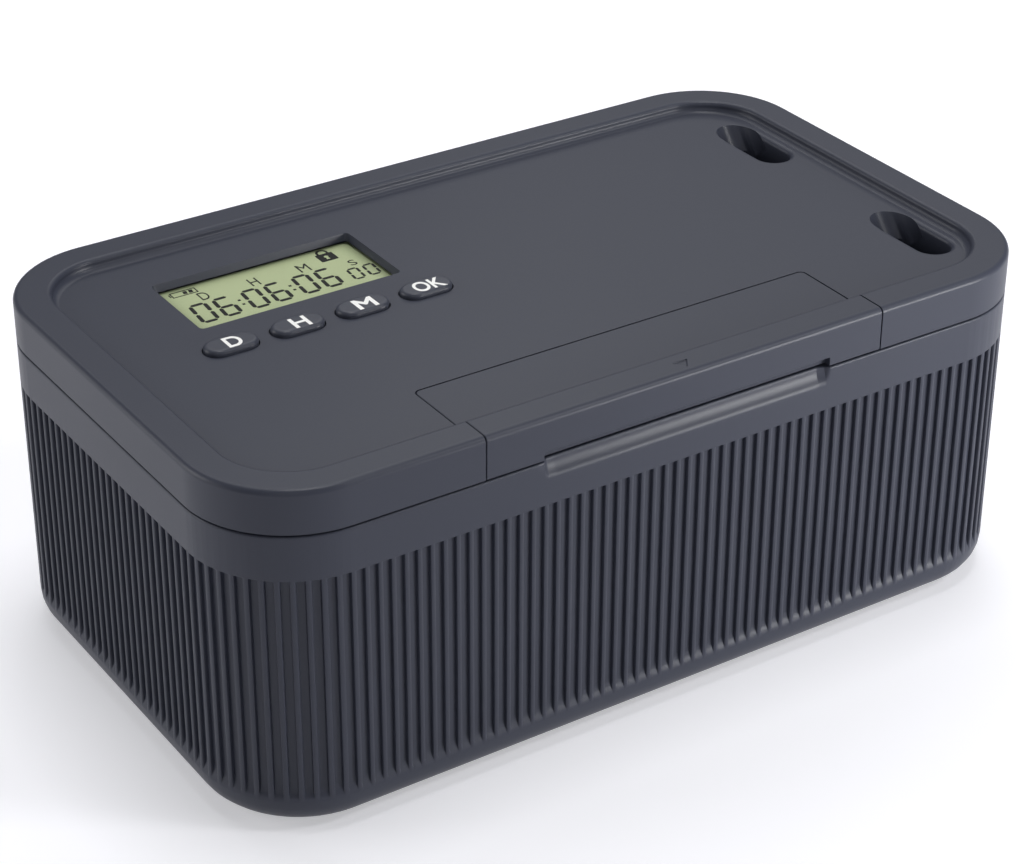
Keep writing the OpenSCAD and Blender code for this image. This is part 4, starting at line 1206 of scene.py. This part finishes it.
# %% Materials for the remaining CAD nodes
# the name of a finish, without the number that Blender may add, is the name of its slot
FINISHES = {material.name.split(".")[0]: material for material in (
    tub_plastic, lid_plastic, inner_plastic, button_plastic, frame_plastic, part_black, foot_rubber,
    zinc_steel, spring_steel, gear_brass, motor_metal, lens_material, display_material,
    contact_rubber, board_material, wire_red, wire_blue, sleeve)}
dressed = 0
for node in frame["nodes"].values():
    for holder in node.material_slots:
        slot = holder.material.name.split(".")[0]
        holder.material = FINISHES[slot]
        dressed += 1
print("CAD material slots dressed:", dressed)

# %% [markdown]
# ## The studio
#
# The box stands on a white table. A camera ray sees the table brighter than the
# lamps make it, so that it runs into white, and still darker in the shadow.
# Wide soft lamps above and behind give the top its even sheen, a smaller one
# overhead fills it in, and one in front at the right makes the crest of the rim
# glint. Two at the left light the end face and leave the front corner dark, and
# a small one close to the right end makes the front face lighter towards it. A
# weak one beside the camera opens the shadows in the grooves.


# %% The table
TABLE_LIFT = 0.36
TABLE_HALF = 3.0


def table():
    """The floor: it keeps the shadow, and camera rays see it lifted towards white."""
    material, tree, shader = new_material("table_white")
    spots = noise(tree, object_place(tree), 3, 1)
    feed(tree, shader,
         Base_Color=tree.mix_colour(spots, colour(226, 226, 232), colour(230, 230, 235)),
         Roughness=0.9, Specular_IOR_Level=0.0)
    path = material.node_tree.nodes.new("ShaderNodeLightPath")
    seen = Value(tree, path.outputs["Is Camera Ray"]).at_least(Value(tree, path.outputs["Is Glossy Ray"]))
    seen = seen.at_least(Value(tree, path.outputs["Is Transmission Ray"]))
    glow = tree.add("ShaderNodeEmission", None, {"Color": (1, 1, 1.02, 1), "Strength": seen * TABLE_LIFT})
    both = tree.add("ShaderNodeAddShader", None, {0: Value(tree, shader.outputs[0]), 1: glow})
    end = material.node_tree.nodes["Material Output"]
    tree.links.new(both.socket, end.inputs["Surface"])
    corners = ((-1, -1), (1, -1), (1, 1), (-1, 1))
    mesh = mesh_of("table", [(x * TABLE_HALF, y * TABLE_HALF, 0) for x, y in corners],
                   faces=[(0, 1, 2, 3)])
    floor = new_object("table", mesh)
    mesh.materials.append(material)


table()
print("table placed")


# %% Lamps and world
def lamp(name, place, target, size, power, spread=180):
    """A square soft lamp that faces a target; places in metres, power in watts, spread in degrees."""
    light = bpy.data.lights.new(name, "AREA")
    light.size = size
    light.energy = power
    light.spread = math.radians(spread)
    holder = new_object(name, light)
    holder.location = place
    holder.rotation_euler = (Vector(target) - Vector(place)).to_track_quat("-Z", "Y").to_euler()


def studio_world(strength):
    """Even light for the object, and plain white for what looks past the table."""
    world = bpy.data.worlds.new("studio")
    world.use_nodes = True
    bpy.context.scene.world = world
    tree = Tree(world.node_tree)
    path = world.node_tree.nodes.new("ShaderNodeLightPath")
    seen = Value(tree, path.outputs["Is Camera Ray"])
    background = world.node_tree.nodes["Background"]
    tree.links.new((seen * (1 - strength) + strength).socket, background.inputs["Strength"])
    background.inputs["Color"].default_value = (1, 1, 1, 1)


BOX_MIDDLE = (0, 0, 0.05)
# place, side and power of the lamps that face the middle of the box
LAMPS = {"above": ((0.2, 0.9, 1.4), 1.2, 7.4), "overhead": ((0.1, 0.0, 1.5), 0.5, 7),
         "crest": ((0.72, -0.76, 1.1), 0.22, 4), "above_right": ((0.9, 0.8, 1.1), 1.0, 3.2),
         "left": ((-1.3, 0.9, 0.5), 0.9, 8), "left_low": ((-1.0, 0.25, 0.12), 0.6, 0.9),
         "camera": ((-0.8, -1.2, 0.9), 0.8, 2)}
WORLD_LIGHT = 0.09
for name, (place, side, power) in LAMPS.items():
    lamp("lamp_" + name, place, BOX_MIDDLE, side, power)
lamp("lamp_front_right", (0.4, -0.5, 0.1), (0.16, -0.07, 0.08), 0.3, 0.6, spread=60)
studio_world(WORLD_LIGHT)
print("lamps:", len(LAMPS) + 1)

# %% [markdown]
# The camera is the one that was fitted to the box's edges in the photograph. Its
# three angles turn it to the right, down, and a little about its own view.

# %% The camera
FOCAL_LENGTH = 96.97
SENSOR_WIDTH = 36
CAMERA_PLACE = (-0.3379, -0.5120, 0.3977)
YAW, PITCH, ROLL = math.radians(33.36), math.radians(30.07), math.radians(0.21)
camera = bpy.data.cameras.new("camera")
camera.lens = FOCAL_LENGTH
camera.sensor_width = SENSOR_WIDTH
camera_holder = new_object("camera", camera)
forward = Vector((math.sin(YAW) * math.cos(PITCH), math.cos(YAW) * math.cos(PITCH), -math.sin(PITCH)))
level = Vector((math.cos(YAW), -math.sin(YAW), 0))
upward = level.cross(forward)
across = level * math.cos(ROLL) + upward * math.sin(ROLL)
over = upward * math.cos(ROLL) - level * math.sin(ROLL)
turn = Matrix((across, over, -forward)).transposed().to_4x4()
camera_holder.matrix_world = Matrix.Translation(CAMERA_PLACE) @ turn
bpy.context.scene.camera = camera_holder
bpy.context.scene.view_settings.view_transform = "Standard"
print("camera at", CAMERA_PLACE)
